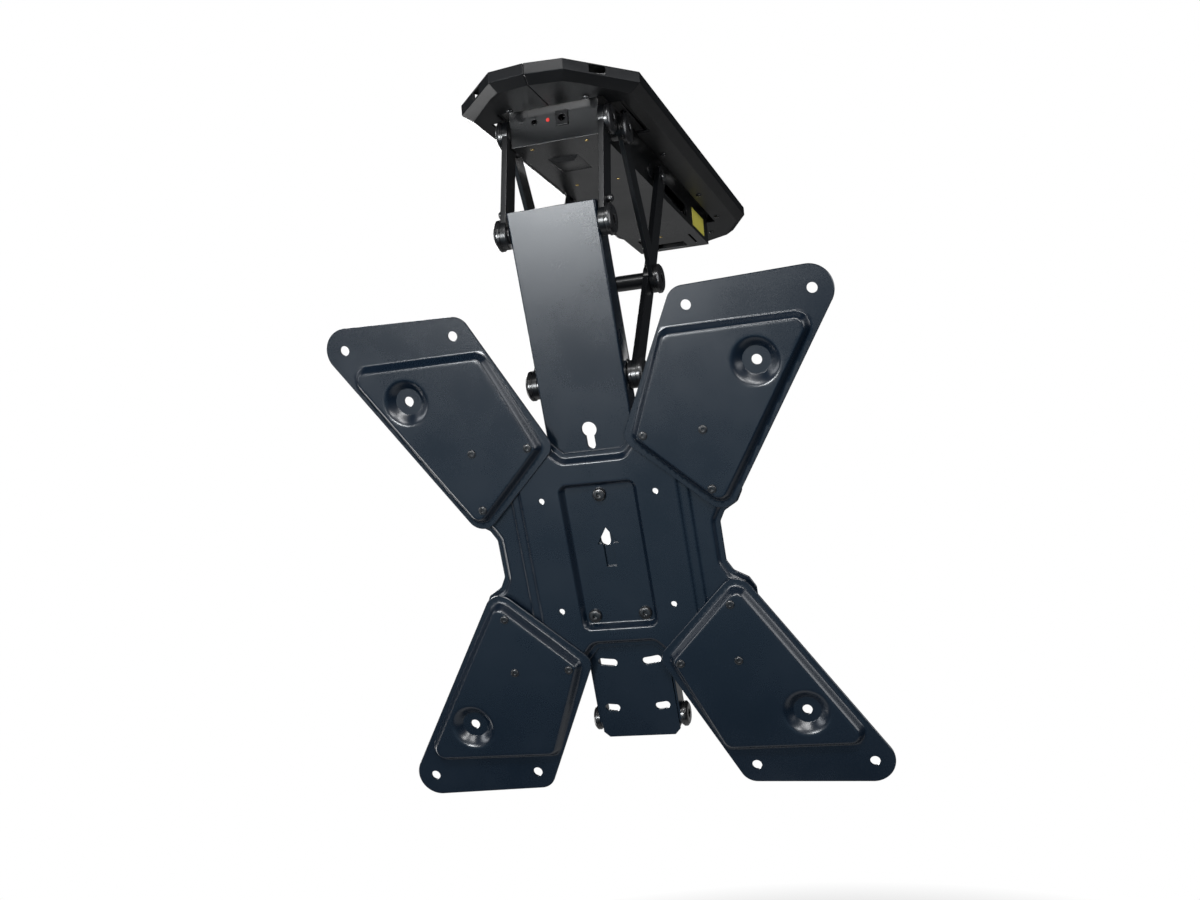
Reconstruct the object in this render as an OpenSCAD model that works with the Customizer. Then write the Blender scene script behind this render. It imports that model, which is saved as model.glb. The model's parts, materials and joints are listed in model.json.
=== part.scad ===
// Motorised flip-down ceiling mount for a flat screen, drawn lowered and ready for use.
// X runs to the right, Y away from the viewer, Z up. The origin is the centre of the
// ceiling bolt pattern, on the top face of the ceiling plate.

/* [Ceiling plate] */
// Width of the steel plate under the ceiling
plate_w = 120; // [116:1:124]
// Length of the steel plate
plate_l = 484; // [470:2:486]
// Thickness of the steel plate
plate_t = 2.5; // [2:0.5:4]
// Spacing of the ceiling bolts across the plate
bolt_x = 100; // [98:0.5:104]
// Spacing of the ceiling bolts along the plate
bolt_y = 406.4; // [380:0.1:440]
// Diameter of the ceiling bolt holes
bolt_d = 9; // [6:0.5:10]

/* [Plastic cover] */
// Overall width of the cover
cover_w = 156; // [150:1:170]
// Overall length of the cover
cover_l = 586; // [576:1:620]
// Height of the upright rim
cover_rim = 9; // [7:0.5:12]
// Height of the slanted band below the rim
cover_slant = 6; // [4:0.5:7]
// How far the slanted band leans in
cover_lean = 9; // [6:0.5:12]
// Wall of the cover
cover_wall = 2.5; // [2:0.1:3]
// Gap between the ceiling and the rim
cover_gap = 1; // [0.5:0.1:2]
// Width of the cable notches
notch_w = 15; // [10:1:18]

/* [Motor housing] */
// Width of the housing
box_w = 78; // [76:0.5:78]
// Front face of the housing, from the origin
box_front = -224; // [-230:1:-222]
// Length of the housing
box_l = 412; // [405:1:420]
// Bottom of the housing below the ceiling
box_h = 43; // [42:0.5:44]
// Sheet of the housing
box_t = 1.5; // [1:0.1:2]
// Width of the flanges that hold the housing to the plate
flange_w = 8; // [6:0.5:9]

/* [Lifting linkage] */
// Height of the front link pivots below the ceiling
front_low = 30; // [29:0.5:32]
// Distance of the front link pivots behind the front of the housing
front_in = 5; // [4:0.5:8]
// Distance from the front link pivots to the crank pivots
pivot_gap = 28; // [27:0.5:31]
// Height of the crank pivots and the slider below the ceiling
crank_low = 31; // [30:0.5:32]
// Length of the front links
link_l = 93; // [91:0.5:95]
// Lean of the front links from plumb
link_lean = 13.3; // [12:0.1:15]
// Length of the cranks, and of the upper half of the long arms
crank_l = 136; // [134:0.5:138]
// Angle of the cranks below level
crank_down = 57; // [55:0.5:59]
// Length of the lower half of the long arms
tail_l = 115; // [113:0.5:117]
// Bend of the long arms at the middle pivot
tail_bend = 3; // [1:0.5:6]
// Width of the links, cranks and long arms
bar_w = 20; // [17:0.5:21]
// Radius of the round eyes on the bars
eye_r = 12; // [11:0.1:12.5]
// Thickness of the front links and long arms
bar_t = 5; // [4:0.1:5.2]
// Thickness of the cranks
crank_t = 4; // [3:0.1:4.5]
// Radius of the pivot shanks
shank_r = 4; // [3.5:0.1:4.5]
// Radius of the large pivot heads
head_r = 13; // [12:0.1:13.4]
// Thickness of the large pivot heads
head_t = 5.4; // [4:0.1:6]
// Radius of the tube that ties the middle pivots
tube_r = 7; // [6:0.1:7.2]
// Free play of the lower pivot along the arm, each way
lower_play = 9; // [8.5:0.1:9.5]
// Free play of the lower pivot across the arm, each way
lower_side_play = 4.8; // [4.6:0.1:5.2]

/* [Arm] */
// Width of the arm over its front cover
arm_w = 76; // [75:0.1:76.4]
// Length of the arm above the screen centre
arm_up = 291; // [288:0.5:294]
// Depth of the arm behind its front face
arm_d = 25; // [24:0.5:26]
// Sheet of the arm channel
arm_t = 2; // [1.5:0.1:2.2]
// Sheet of the front cover of the arm
skin_t = 0.8; // [0.6:0.1:1]
// Depth of the side lips of the front cover
skin_lip = 6; // [4:0.5:8]
// Lean of the arm and of the screen plate from plumb
lean = 19.3; // [19:0.1:19.6]
// Radius of the round part of the keyhole
keyhole_r = 6.5; // [5:0.5:8]

/* [Screen plate] */
// Side of the large square of screen holes
vesa_l = 400; // [398:1:402]
// Side of the middle square of screen holes
vesa_m = 300; // [298:1:302]
// Side of the small square of screen holes
vesa_s = 100; // [98:1:102]
// Spacing across of the inner holes at the flange ends
vesa_n = 200; // [196:1:204]
// Height of the screen centre below the ceiling
drop = 382.8; // [382:0.1:383.6]
// Distance of the screen centre in front of the origin
reach = 160; // [159.5:0.1:160.5]
// Diameter of the screen holes
vesa_d = 8.6; // [7:0.1:9]
// Sheet of the pressed plates
sheet = 2; // [1.5:0.1:2.2]
// Rise of the pressed panel of a corner plate
press_corner = 8; // [6.5:0.5:9]
// Rise of the pressed field of the centre plate
press_centre = 6.5; // [5:0.5:7]

/* [Tilt bracket] */
// Sheet of the tilt bracket
bracket_t = 2.5; // [2:0.1:3]
// Bottom of the bracket below the screen centre
bracket_low = 174; // [173:0.5:178]
// Height of the tilt pivot below the screen centre
tilt_low = 159; // [158:0.5:160]

/* [Drive] */
// Radius of the drive screw
screw_r = 6; // [5:0.5:7]
// Radius of the motor
motor_r = 16; // [14:0.5:16.5]
// Length of the motor
motor_l = 62; // [50:1:64]
// Radius of the guide rods
rod_r = 3; // [2.5:0.1:3.5]

/* [Fits] */
// Running clearance of shafts in their holes
fit = 0.05; // [0.02:0.01:0.09]
// Gap between faces that slide past each other
gap = 0.3; // [0.2:0.05:0.35]

/* [Hidden] */
$fn = 48;

// Small amount by which a cutter stands past the face it cuts
cut = 1;

// Pivots of the linkage as points in the side view: distance back, then height
front_pivot = [box_front + front_in, -front_low];
crank_pivot = [front_pivot[0] + pivot_gap, -crank_low];
upper_pivot = front_pivot - link_l * [sin(link_lean), cos(link_lean)];
middle_pivot = crank_pivot + crank_l * [cos(crank_down), -sin(crank_down)];
slider_pivot = crank_pivot + [2 * crank_l * cos(crank_down), 0];
tail_angle = 180 + crank_down - tail_bend;
lower_pivot = middle_pivot + tail_l * [cos(tail_angle), sin(tail_angle)];

// Frame of the leaning screen plate: depth behind the plate, then height up the plate
function lean_depth(p) = (p[0] + reach) * cos(lean) + (p[1] + drop) * sin(lean);
function lean_height(p) = -(p[0] + reach) * sin(lean) + (p[1] + drop) * cos(lean);
upper_at = [lean_depth(upper_pivot), lean_height(upper_pivot)];
lower_at = [lean_depth(lower_pivot), lean_height(lower_pivot)];

// Layers of the linkage from the middle outwards, on the right side
link_x = box_w / 2 + gap + 0.2;
long_x = link_x + 1.5;
crank_x = long_x + bar_t + gap;
outer_head_x = crank_x + crank_t;
inner_head_x = long_x + bar_t;
front_head_x = link_x + bar_t;

// Depths in the frame of the screen plate, from the plane through its reference centre
plate_back = 5;
flange_front = plate_back - sheet;
strip_rise = 3;
strip_front = flange_front - strip_rise;
field_front = flange_front - press_centre;
corner_front = field_front - sheet;
arm_front = plate_back + gap;
channel_front = arm_front + skin_t;
arm_back = arm_front + arm_d;
cheek_out = arm_w / 2 - skin_t;
cheek_in = cheek_out - arm_t;
bracket_out = cheek_in - gap;
tail_r = 9;
tilt_depth = arm_front + tail_r + 1;
tilt_at = [tilt_depth, -tilt_low];
web_low = 74;
bracket_high = web_low - 6;

// Recess of the centre plate and its bolts
recess_w = 60;
recess_top = 57;
recess_low = -65;
level_at = 50;
foot_bolt = [22.5, -58];
plate_bolt_r = 3;
level_swing = 2;
arrow_tip = 20.5;

// Travel of the slider along the housing, and the drive inside
crank_fold = 48.5;
slider_end = crank_pivot[0] + 2 * crank_l * cos(crank_down - crank_fold);
drive_low = crank_low - 9;
carriage_l = 26;
screw_start = slider_pivot[0] - carriage_l / 2 - 24;
screw_end = slider_end + carriage_l / 2 + 24;
bearing_l = 12;
rod_x = 26;
coupler_l = 20;
gearbox_l = 26;
stub_r = 3.5;

side_slot_h = 13;
steel = [0.13, 0.14, 0.15];
plate_steel = [0.08, 0.11, 0.15];
plastic = [0.09, 0.09, 0.10];
bright = [0.45, 0.46, 0.48];
gloss = [0.06, 0.06, 0.07];

// Places its children in the frame of the leaning screen plate
module on_plate() {
    translate([0, -reach, -drop]) rotate([lean, 0, 0]) children();
}

// Lays a side view out as a flat piece between two distances from the middle
module side_sheet(x0, x1) {
    translate([x0, 0, 0]) rotate([90, 0, 90]) linear_extrude(x1 - x0) children();
}

// Repeats its children on the left side
module both_sides() {
    children();
    mirror([1, 0, 0]) children();
}

// Round piece across the mount between two distances from the middle
module pin(at, x0, x1, r) {
    translate([x0, at[0], at[1]]) rotate([0, 90, 0]) cylinder(h = x1 - x0, r = r);
}

// Side view of a straight bar between two points
module bar_view(p, q, w) {
    v = q - p;
    translate(p) rotate(atan2(v[1], v[0])) translate([0, -w / 2]) square([norm(v), w]);
}

// Side view of a bar with round eyes and a bore in each
module link_view(p, q) {
    difference() {
        union() {
            bar_view(p, q, bar_w);
            translate(p) circle(eye_r);
            translate(q) circle(eye_r);
        }
        translate(p) circle(shank_r + fit);
        translate(q) circle(shank_r + fit);
    }
}

// Large pivot bolt: a bevelled round head with a hexagon socket, a washer and a shank
module pivot_bolt(at, x_in, x_seat, r_head = head_r) {
    bevel = 1.6;
    washer_t = 1;
    socket_r = 4;
    translate([0, at[0], at[1]]) rotate([0, 90, 0]) difference() {
        union() {
            translate([0, 0, x_in]) cylinder(h = x_seat - x_in + washer_t, r = shank_r);
            translate([0, 0, x_seat]) cylinder(h = washer_t, r = r_head - 1);
            translate([0, 0, x_seat + washer_t])
                cylinder(h = head_t - washer_t - bevel, r = r_head);
            translate([0, 0, x_seat + head_t - bevel])
                cylinder(h = bevel, r1 = r_head, r2 = r_head - bevel * 1.4);
        }
        translate([0, 0, x_seat + head_t - 3]) cylinder(h = 3 + cut, r = socket_r, $fn = 6);
    }
}

// Outline of one half of the cover, seen from above, drawn in by a distance
module cover_outline(inset) {
    w = cover_w / 2;
    l = cover_l / 2;
    k = inset * tan(22.5);
    polygon([
        [0, -l + inset],
        [w - 47 - k, -l + 4.5 + inset],
        [w - 36 - inset * 0.5, -l + 18 + inset * 0.6],
        [w - inset, -l + 61 + k],
        [w - inset, l - 83 - k],
        [w - 24 - inset * 0.8, l - 26 - inset * 0.6],
        [w - 59 - k, l - 2 - inset],
        [0, l - inset]
    ]);
}

// Solid of one half of the cover, drawn in by a distance
module cover_body(inset, top, low) {
    hull() {
        translate([0, 0, -cover_gap - cover_rim])
            linear_extrude(top + cover_rim) cover_outline(inset);
        translate([0, 0, -cover_gap - cover_rim - cover_slant + low])
            linear_extrude(0.1) cover_outline(inset + cover_lean);
    }
}

cover_floor = -cover_gap - cover_rim - cover_slant;
opening_w = box_w + 14;
pocket_w = box_w + 38;
pocket_l = 84;
post_r = 4;
post_hole_r = 1.5;
post_places = [[33, box_front - 14], [53, box_front + pocket_l + 76],
    [53, box_front + box_l * 0.75], [53, box_front + box_l - 12],
    [33, (box_front + box_l + cover_l / 2) / 2 - 2.5]];

notch_h = 7.5;
notch_roof = 1.3;
notch_reach = 20;

// Plan of a cable notch at one end of the cover, wider by a margin each side
module notch_view(end, margin) {
    translate([cover_w / 2 - 24, end * (cover_l / 2 - 26)]) rotate(end * 58)
        translate([-notch_reach, -notch_w / 2 - margin])
            square([2 * notch_reach, notch_w + 2 * margin]);
}

// One half of the plastic cover: a thin shell with screw posts and roofed cable notches
module cover_half() {
    difference() {
        union() {
            difference() {
                cover_body(0, 0, 0);
                cover_body(cover_wall, cut, cover_wall);
            }
            for (p = post_places)
                translate([p[0], p[1], cover_floor + cover_wall / 2])
                    cylinder(h = -plate_t - cover_floor - cover_wall / 2, r = post_r);
            for (end = [-1, 1])
                translate([0, 0, -cover_gap - notch_roof]) linear_extrude(notch_roof)
                    intersection() {
                        cover_outline(0);
                        notch_view(end, 3);
                    }
        }
        translate([-cut, box_front - gap - 9, cover_floor - cut])
            cube([opening_w / 2 + cut, box_l + 18, cover_wall + 2 * cut]);
        translate([-cut, box_front + 9, cover_floor - cut])
            cube([pocket_w / 2 + cut, pocket_l, cover_wall + 2 * cut]);
        for (end = [-1, 1])
            translate([0, 0, -cover_gap - notch_h])
                linear_extrude(notch_h - notch_roof) notch_view(end, 0);
        for (p = post_places)
            translate([p[0], p[1], cover_floor - cut])
                cylinder(h = -plate_t - cover_floor + 2 * cut, r = post_hole_r);
    }
}

module cover_right() {
    color(plastic) translate([0.15, 0, 0]) cover_half();
}

module cover_left() {
    color(plastic) mirror([1, 0, 0]) translate([0.15, 0, 0]) cover_half();
}

// Small screws that pull the cover up against the plate
module cover_screws() {
    color(gloss) both_sides()
        for (p = post_places)
            translate([p[0] + 0.15, p[1], cover_floor]) {
                translate([0, 0, -1.6]) cylinder(h = 1.6, r1 = 2.4, r2 = 3);
                cylinder(h = cover_wall + 6, r = post_hole_r);
            }
}

// Steel plate that is screwed to the ceiling
module ceiling_plate() {
    slot_r = 4;
    color(steel) difference() {
        translate([-plate_w / 2, -plate_l / 2, -plate_t]) cube([plate_w, plate_l, plate_t]);
        for (x = [-1, 1], y = [-1, 1])
            translate([x * bolt_x / 2, y * bolt_y / 2, -plate_t - cut])
                cylinder(h = plate_t + 2 * cut, r = bolt_d / 2);
        for (x = [-1, 1], y = [-1, 1])
            translate([x * bolt_x / 2, y * bolt_y * 0.15, -plate_t - cut]) {
                translate([0, -12, 0]) cylinder(h = plate_t + 2 * cut, r = slot_r);
                translate([0, 12, 0]) cylinder(h = plate_t + 2 * cut, r = slot_r);
                translate([-slot_r, -12, 0]) cube([2 * slot_r, 24, plate_t + 2 * cut]);
            }
    }
}

box_half = box_w / 2;
box_end = box_front + box_l;
jack_z = -24;
power_x = 7.3;
power_w = 11;
power_h = 13;
power_bore = 2.85;
remote_x = -17;
remote_r = 2.6;
remote_bore = 1.8;
light_x = -5;
light_r = 1.6;
boss_r = 7;
end_notch_w = 34;
end_notch_l = 30;

// Obround opening along the housing, as a cutter seen from the side
module slot_view(y0, y1, z, h) {
    translate([y0, z - h / 2]) square([y1 - y0, h]);
    translate([y0, z]) circle(h / 2);
    translate([y1, z]) circle(h / 2);
}

// Folded steel housing of the drive
module motor_housing() {
    color(steel) difference() {
        union() {
            translate([-box_half, box_front, -box_h]) cube([box_w, box_l, box_h - plate_t]);
            both_sides() translate([box_half - cut, box_front + 14, -plate_t - box_t])
                cube([flange_w + cut, box_l - 28, box_t]);
            both_sides() pin(slider_pivot + [-boss_r * 2.8, 2.5], box_half - cut,
                box_half + 1, boss_r);
        }
        translate([-box_half + box_t, box_front + box_t, -box_h + box_t])
            cube([box_w - 2 * box_t, box_l - 2 * box_t, box_h]);
        both_sides() side_sheet(box_half - box_t - cut, box_half + cut)
            slot_view(slider_pivot[0], slider_end, slider_pivot[1], side_slot_h);
        both_sides() pin(front_pivot, box_half - box_t - cut, box_half + cut, shank_r);
        both_sides() pin(crank_pivot, box_half - box_t - cut, box_half + cut, shank_r);
        for (x = [-1, 1])
            translate([x * 28, box_end - 56, -box_h - cut]) cube([2.4, 38, box_t + 2 * cut]);
        translate([-end_notch_w / 2, box_end - end_notch_l, -box_h - cut])
            cube([end_notch_w, end_notch_l - 8, box_t + 2 * cut]);
        translate([0, box_front + 76, -box_h - cut]) cylinder(h = box_t + 2 * cut, r = 3);
        translate([power_x - power_w / 2, box_front - cut, jack_z - power_h / 2])
            cube([power_w, box_t + 2 * cut, power_h]);
        for (hole = [[remote_x, remote_r], [light_x, light_r]])
            translate([hole[0], box_front - cut, jack_z])
                rotate([-90, 0, 0]) cylinder(h = box_t + 2 * cut, r = hole[1]);
        both_sides() for (y = flange_screws)
            translate([box_half + flange_w / 2, y, -plate_t - box_t - cut])
                cylinder(h = box_t + 2 * cut, r = 1.6);
    }
    color(steel) translate([-8, box_front + 42, -box_h]) housing_bump();
}

// Stamped hood on the underside of the housing
module housing_bump() {
    rise = 3;
    hull() {
        translate([-13, 0, -0.01]) cube([27, 40, 0.01]);
        translate([-10, 5, -rise]) cube([19, 22, rise]);
    }
}

flange_screws = [box_front + 66, box_front + box_l / 2, box_end - 66];

// Screws that hold the housing to the ceiling plate
module housing_screws() {
    head_h = 2;
    color(gloss) both_sides()
        for (y = flange_screws)
            translate([box_half + flange_w / 2, y, -plate_t - box_t]) {
                translate([0, 0, -head_h]) cylinder(h = head_h, r1 = 2.2, r2 = 3);
                cylinder(h = box_t, r = 1.6);
            }
}

rivet_r = 1.6;
rivet_places = [[-24, 0.027], [24, 0.027], [-21.5, 0.303], [17.5, 0.306], [17.2, 0.442],
    [0, 0.85]];

// Brass rivets in the floor of the housing
module housing_rivets() {
    rivet_t = 0.8;
    color([0.7, 0.55, 0.3])
        for (p = rivet_places)
            translate([p[0], box_front + box_l * p[1], -box_h - rivet_t])
                cylinder(h = rivet_t, r1 = rivet_r * 0.7, r2 = rivet_r);
}

// Round power socket in a square shell, set in the front face
module power_jack() {
    depth = 14;
    proud = 1;
    bore_l = 7;
    pin_l = 3;
    color(gloss) translate([power_x, box_front - proud, jack_z]) {
        difference() {
            translate([-power_w / 2, 0, -power_h / 2]) cube([power_w, depth, power_h]);
            translate([0, -cut, 0])
                rotate([-90, 0, 0]) cylinder(h = bore_l + cut, r = power_bore);
            translate([0, bore_l - cut, 0])
                rotate([-90, 0, 0]) cylinder(h = pin_l + cut, r = power_bore - 0.6);
        }
        translate([0, bore_l, 0]) rotate([-90, 0, 0]) cylinder(h = pin_l + cut, r = 1);
    }
}

// Small socket for the remote receiver
module remote_jack() {
    body = 8;
    depth = 11;
    color(gloss) translate([remote_x, box_front + box_t, jack_z]) difference() {
        union() {
            translate([-body / 2, 0, -body / 2]) cube([body, depth, body]);
            rotate([90, 0, 0]) cylinder(h = box_t + 0.8, r = remote_r);
        }
        translate([0, -box_t - 0.8 - cut, 0])
            rotate([-90, 0, 0]) cylinder(h = 9 + cut, r = remote_bore);
    }
}

// Red status light
module status_light() {
    color([0.8, 0.08, 0.05]) translate([light_x, box_front + box_t, jack_z]) {
        rotate([90, 0, 0]) cylinder(h = box_t + 0.6, r = light_r);
        rotate([-90, 0, 0]) cylinder(h = 6, r = 2.4);
    }
}

// Controller board on four feet, upright along the left wall of the housing
module control_board() {
    foot_h = 5;
    board_t = 1.6;
    board_l = 78;
    board_h = 28;
    wall_x = -box_half + box_t;
    low_z = -box_h + box_t + 3;
    board_y = box_front + 4;
    color([0.05, 0.3, 0.15]) translate([wall_x + foot_h, board_y, low_z])
        cube([board_t, board_l, board_h]);
    color(bright) for (y = [5, board_l - 5], z = [5, board_h - 5])
        translate([wall_x, board_y + y, low_z + z])
            rotate([0, 90, 0]) cylinder(h = foot_h, r = 2);
    color(gloss) translate([wall_x + foot_h + board_t, board_y + 10, low_z + 5]) {
        cube([4, 20, 14]);
        translate([0, 34, 9]) rotate([0, 90, 0]) cylinder(h = 9, r = 5);
    }
}

drive_z = -drive_low;
motor_end = screw_start - coupler_l - gearbox_l;

// Electric motor, lying along the housing
module gear_motor() {
    color(bright) translate([0, motor_end - motor_l, drive_z])
        rotate([-90, 0, 0]) cylinder(h = motor_l, r = motor_r);
    color(gloss) translate([0, motor_end - motor_l - 5, drive_z])
        rotate([-90, 0, 0]) cylinder(h = 5, r = 6);
}

// Gearbox between the motor and the screw, with its foot on the housing floor
module gearbox() {
    half = motor_r + 1;
    neck_l = 4;
    color(steel) translate([0, motor_end, 0]) difference() {
        union() {
            translate([-half, 0, -box_h + box_t])
                cube([2 * half, gearbox_l - neck_l, drive_z + box_h - box_t + half]);
            translate([0, gearbox_l - neck_l, drive_z])
                rotate([-90, 0, 0]) cylinder(h = neck_l, r = 8);
        }
        translate([0, gearbox_l - 2 * neck_l, drive_z])
            rotate([-90, 0, 0]) cylinder(h = 3 * neck_l, r = stub_r + fit);
    }
}

// Two blocks that carry the ends of the screw and of the guide rods
module screw_bearings() {
    color(steel) for (y = [screw_start, screw_end - bearing_l])
        difference() {
            translate([-box_half + 5, y, -box_h + box_t])
                cube([box_w - 10, bearing_l, box_h - box_t - plate_t - 2]);
            translate([0, y - cut, drive_z])
                rotate([-90, 0, 0]) cylinder(h = bearing_l + 2 * cut, r = screw_r - 1 + fit);
            for (x = [-rod_x, rod_x])
                translate([x, y - cut, drive_z])
                    rotate([-90, 0, 0]) cylinder(h = bearing_l + 2 * cut, r = rod_r);
        }
}

// Two steel rods that guide the carriage
module guide_rods() {
    color(bright) for (x = [-rod_x, rod_x])
        translate([x, screw_start, drive_z])
            rotate([-90, 0, 0]) cylinder(h = screw_end - screw_start, r = rod_r);
}

// Drive screw with turned-down ends
module lead_screw() {
    neck = screw_r - 1;
    color(bright) translate([0, screw_start, drive_z]) rotate([-90, 0, 0]) {
        translate([0, 0, -8]) cylinder(h = bearing_l + 8 + gap, r = neck);
        translate([0, 0, bearing_l + gap])
            cylinder(h = screw_end - screw_start - 2 * bearing_l - 2 * gap, r = screw_r);
        translate([0, 0, screw_end - screw_start - bearing_l - gap])
            cylinder(h = bearing_l + gap, r = neck);
    }
}

// Sleeve on the screw, with the stub that the gearbox turns
module shaft_coupler() {
    stub_l = 6;
    grip = 8;
    color(gloss) translate([0, screw_start - gap, drive_z]) rotate([90, 0, 0]) {
        difference() {
            cylinder(h = coupler_l - 2 * gap, r = screw_r + 3);
            translate([0, 0, -cut]) cylinder(h = grip - gap + cut, r = screw_r - 1);
        }
        translate([0, 0, coupler_l - 2 * gap - cut]) cylinder(h = stub_l + cut, r = stub_r);
    }
}

// Switches that stop the motor at each end of the travel
module limit_switches() {
    w = 6;
    h = 8;
    l = 9;
    color(gloss) for (y = [screw_start + bearing_l, screw_end - bearing_l - l])
        translate([rod_x - 12 - w, y, -box_h + box_t]) cube([w, l, h]);
}

// Plain label on the side of the housing
module blank_label() {
    label_t = 0.3;
    color([0.85, 0.8, 0.25]) translate([box_half, box_end - 76, -box_h + 4])
        cube([label_t, 54, 19]);
}

// Bolts of the front link pivots, riveted in the housing walls
module front_pivot_bolts() {
    color(gloss) both_sides() {
        pivot_bolt(front_pivot, box_half - box_t, front_head_x + 0.1);
        pin(front_pivot, box_half, link_x - 0.1, 9);
    }
}

// Bolts of the crank pivots, fixed in the housing walls
module rear_pivot_bolts() {
    nut_t = 4;
    color(gloss) both_sides() {
        pivot_bolt(crank_pivot, box_half - box_t - nut_t, outer_head_x + 0.1);
        pin(crank_pivot, box_half - box_t - nut_t, box_half - box_t, 7);
    }
}

// Spacers that hold the cranks outside the long arms
module rear_pivot_spacers() {
    color(gloss) both_sides() difference() {
        pin(crank_pivot, box_half, crank_x - 0.1, 9);
        pin(crank_pivot, box_half - cut, crank_x + cut, shank_r);
    }
}

module front_link() {
    side_sheet(link_x, link_x + bar_t) link_view(front_pivot, upper_pivot);
}

module front_link_right() {
    color(steel) front_link();
}

module front_link_left() {
    color(steel) mirror([1, 0, 0]) front_link();
}

// Short stop pins on the front links, above the upper arm pivots
module link_stop_pins() {
    along = upper_pivot + 19 * [sin(link_lean), cos(link_lean)];
    color(gloss) both_sides() {
        pin(along, front_head_x, front_head_x + 3.4, 3.4);
        pin(along, front_head_x + 3.4, front_head_x + 4.6, 2.6);
    }
}

module crank() {
    side_sheet(crank_x, crank_x + crank_t) link_view(crank_pivot, middle_pivot);
}

module crank_right() {
    color(steel) crank();
}

module crank_left() {
    color(steel) mirror([1, 0, 0]) crank();
}

// Tube that ties the two middle pivots together
module cross_tube() {
    color(steel) pin(middle_pivot, -long_x + gap, long_x - gap, tube_r);
}

// Bolts of the middle pivots, fixed in the cross tube and the cranks
module middle_pivot_bolts() {
    color(gloss) both_sides() pivot_bolt(middle_pivot, long_x - gap, outer_head_x);
}

// Side view of a long arm: upper half, lower half and three bores
module long_arm_view() {
    difference() {
        union() {
            bar_view(slider_pivot, middle_pivot, bar_w);
            bar_view(middle_pivot, lower_pivot, bar_w);
            translate(slider_pivot) circle(bar_w / 2 + 1);
            translate(middle_pivot) circle(eye_r);
            translate(lower_pivot) circle(eye_r);
        }
        translate(slider_pivot) circle(shank_r + fit);
        translate(middle_pivot) circle(shank_r + fit);
        translate(lower_pivot) circle(shank_r);
    }
}

module long_arm_right() {
    color(steel) side_sheet(long_x, long_x + bar_t) long_arm_view();
}

module long_arm_left() {
    color(steel) mirror([1, 0, 0]) side_sheet(long_x, long_x + bar_t) long_arm_view();
}

// Bolts of the lower arm pivots, fixed in the long arms
module lower_pivot_bolts() {
    nut_t = 3;
    color(gloss) both_sides() {
        pivot_bolt(lower_pivot, cheek_in - gap - nut_t, inner_head_x);
        pin(lower_pivot, cheek_in - gap - nut_t, cheek_in - gap, 11);
        difference() {
            pin(lower_pivot, arm_w / 2 + gap, long_x, head_r - 1);
            pin(lower_pivot, arm_w / 2 - cut, long_x + cut, shank_r);
        }
    }
}

pin_out = box_half + 8.6;

// Carriage that slides along the guide rods
module carriage() {
    half = box_half - box_t - 2;
    low = crank_low + 7;
    high = drive_low - 8;
    color(steel) difference() {
        translate([-half, slider_pivot[0] - carriage_l / 2, -low])
            cube([2 * half, carriage_l, low - high]);
        for (x = [-rod_x, rod_x])
            translate([x, slider_pivot[0] - carriage_l, drive_z])
                rotate([-90, 0, 0]) cylinder(h = 2 * carriage_l, r = rod_r + fit);
        translate([0, slider_pivot[0] - carriage_l, drive_z])
            rotate([-90, 0, 0]) cylinder(h = 2 * carriage_l, r = screw_r + 4);
        both_sides() pin(slider_pivot, half - 8, half + cut, shank_r);
    }
}

// Bronze nut on the drive screw, pressed in the carriage
module drive_nut() {
    color([0.7, 0.55, 0.3])
        translate([0, slider_pivot[0] - carriage_l / 2, drive_z])
            rotate([-90, 0, 0]) difference() {
                cylinder(h = carriage_l, r = screw_r + 4);
                translate([0, 0, -cut]) cylinder(h = carriage_l + 2 * cut, r = screw_r + fit);
            }
}

// Pins that carry the tops of the long arms
module slider_pins() {
    half = box_half - box_t - 2;
    color(bright) both_sides() {
        pin(slider_pivot, half - 8, pin_out, shank_r);
    }
}

// Retaining clips on the slider pins
module slider_clips() {
    color(gloss) both_sides() difference() {
        pin(slider_pivot, inner_head_x + 0.1, inner_head_x + 1.3, shank_r + 2.4);
        pin(slider_pivot, inner_head_x - cut, inner_head_x + 2 + cut, shank_r);
    }
}

// Cheek of the arm channel in the frame of the screen plate: depth, then height
module cheek_view() {
    difference() {
        union() {
            translate([channel_front, web_low]) square([arm_back - channel_front, arm_up - web_low]);
            translate([tilt_at[0] - tail_r, -tilt_low]) square([2 * tail_r, tilt_low + web_low]);
            translate(tilt_at) circle(tail_r);
            translate(lower_at) circle(shank_r + lower_side_play + 4);
        }
        translate(tilt_at) circle(shank_r);
        translate(lower_at) play_view();
        translate([arm_front + 9.5, arm_up * 0.59]) square([4, 13]);
    }
}

// Long hole in which the lower pivot shank moves
module play_view() {
    r = shank_r + lower_side_play;
    reach_up = lower_play - lower_side_play;
    translate([-r, -reach_up]) square([2 * r, 2 * reach_up]);
    translate([0, -reach_up]) circle(r);
    translate([0, reach_up]) circle(r);
}

keyhole_at = 106;
keyhole_drop = 13;
keyhole_slot_r = 3.6;

// Keyhole through the front of the arm
module keyhole(depth0, depth1) {
    translate([0, depth0, keyhole_at]) rotate([-90, 0, 0])
        cylinder(h = depth1 - depth0, r = keyhole_r);
    translate([0, depth0, keyhole_at - keyhole_drop]) rotate([-90, 0, 0])
        cylinder(h = depth1 - depth0, r = keyhole_slot_r);
    translate([-keyhole_slot_r, depth0, keyhole_at - keyhole_drop])
        cube([2 * keyhole_slot_r, depth1 - depth0, keyhole_drop]);
}

// Holes for the upper arm pivots, in the frame of the screen plate
module upper_pivot_holes() {
    for (side = [0, 1])
        mirror([side, 0, 0]) pin(upper_at, cheek_in - 2 * arm_t, arm_w / 2 + cut, shank_r);
}

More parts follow.
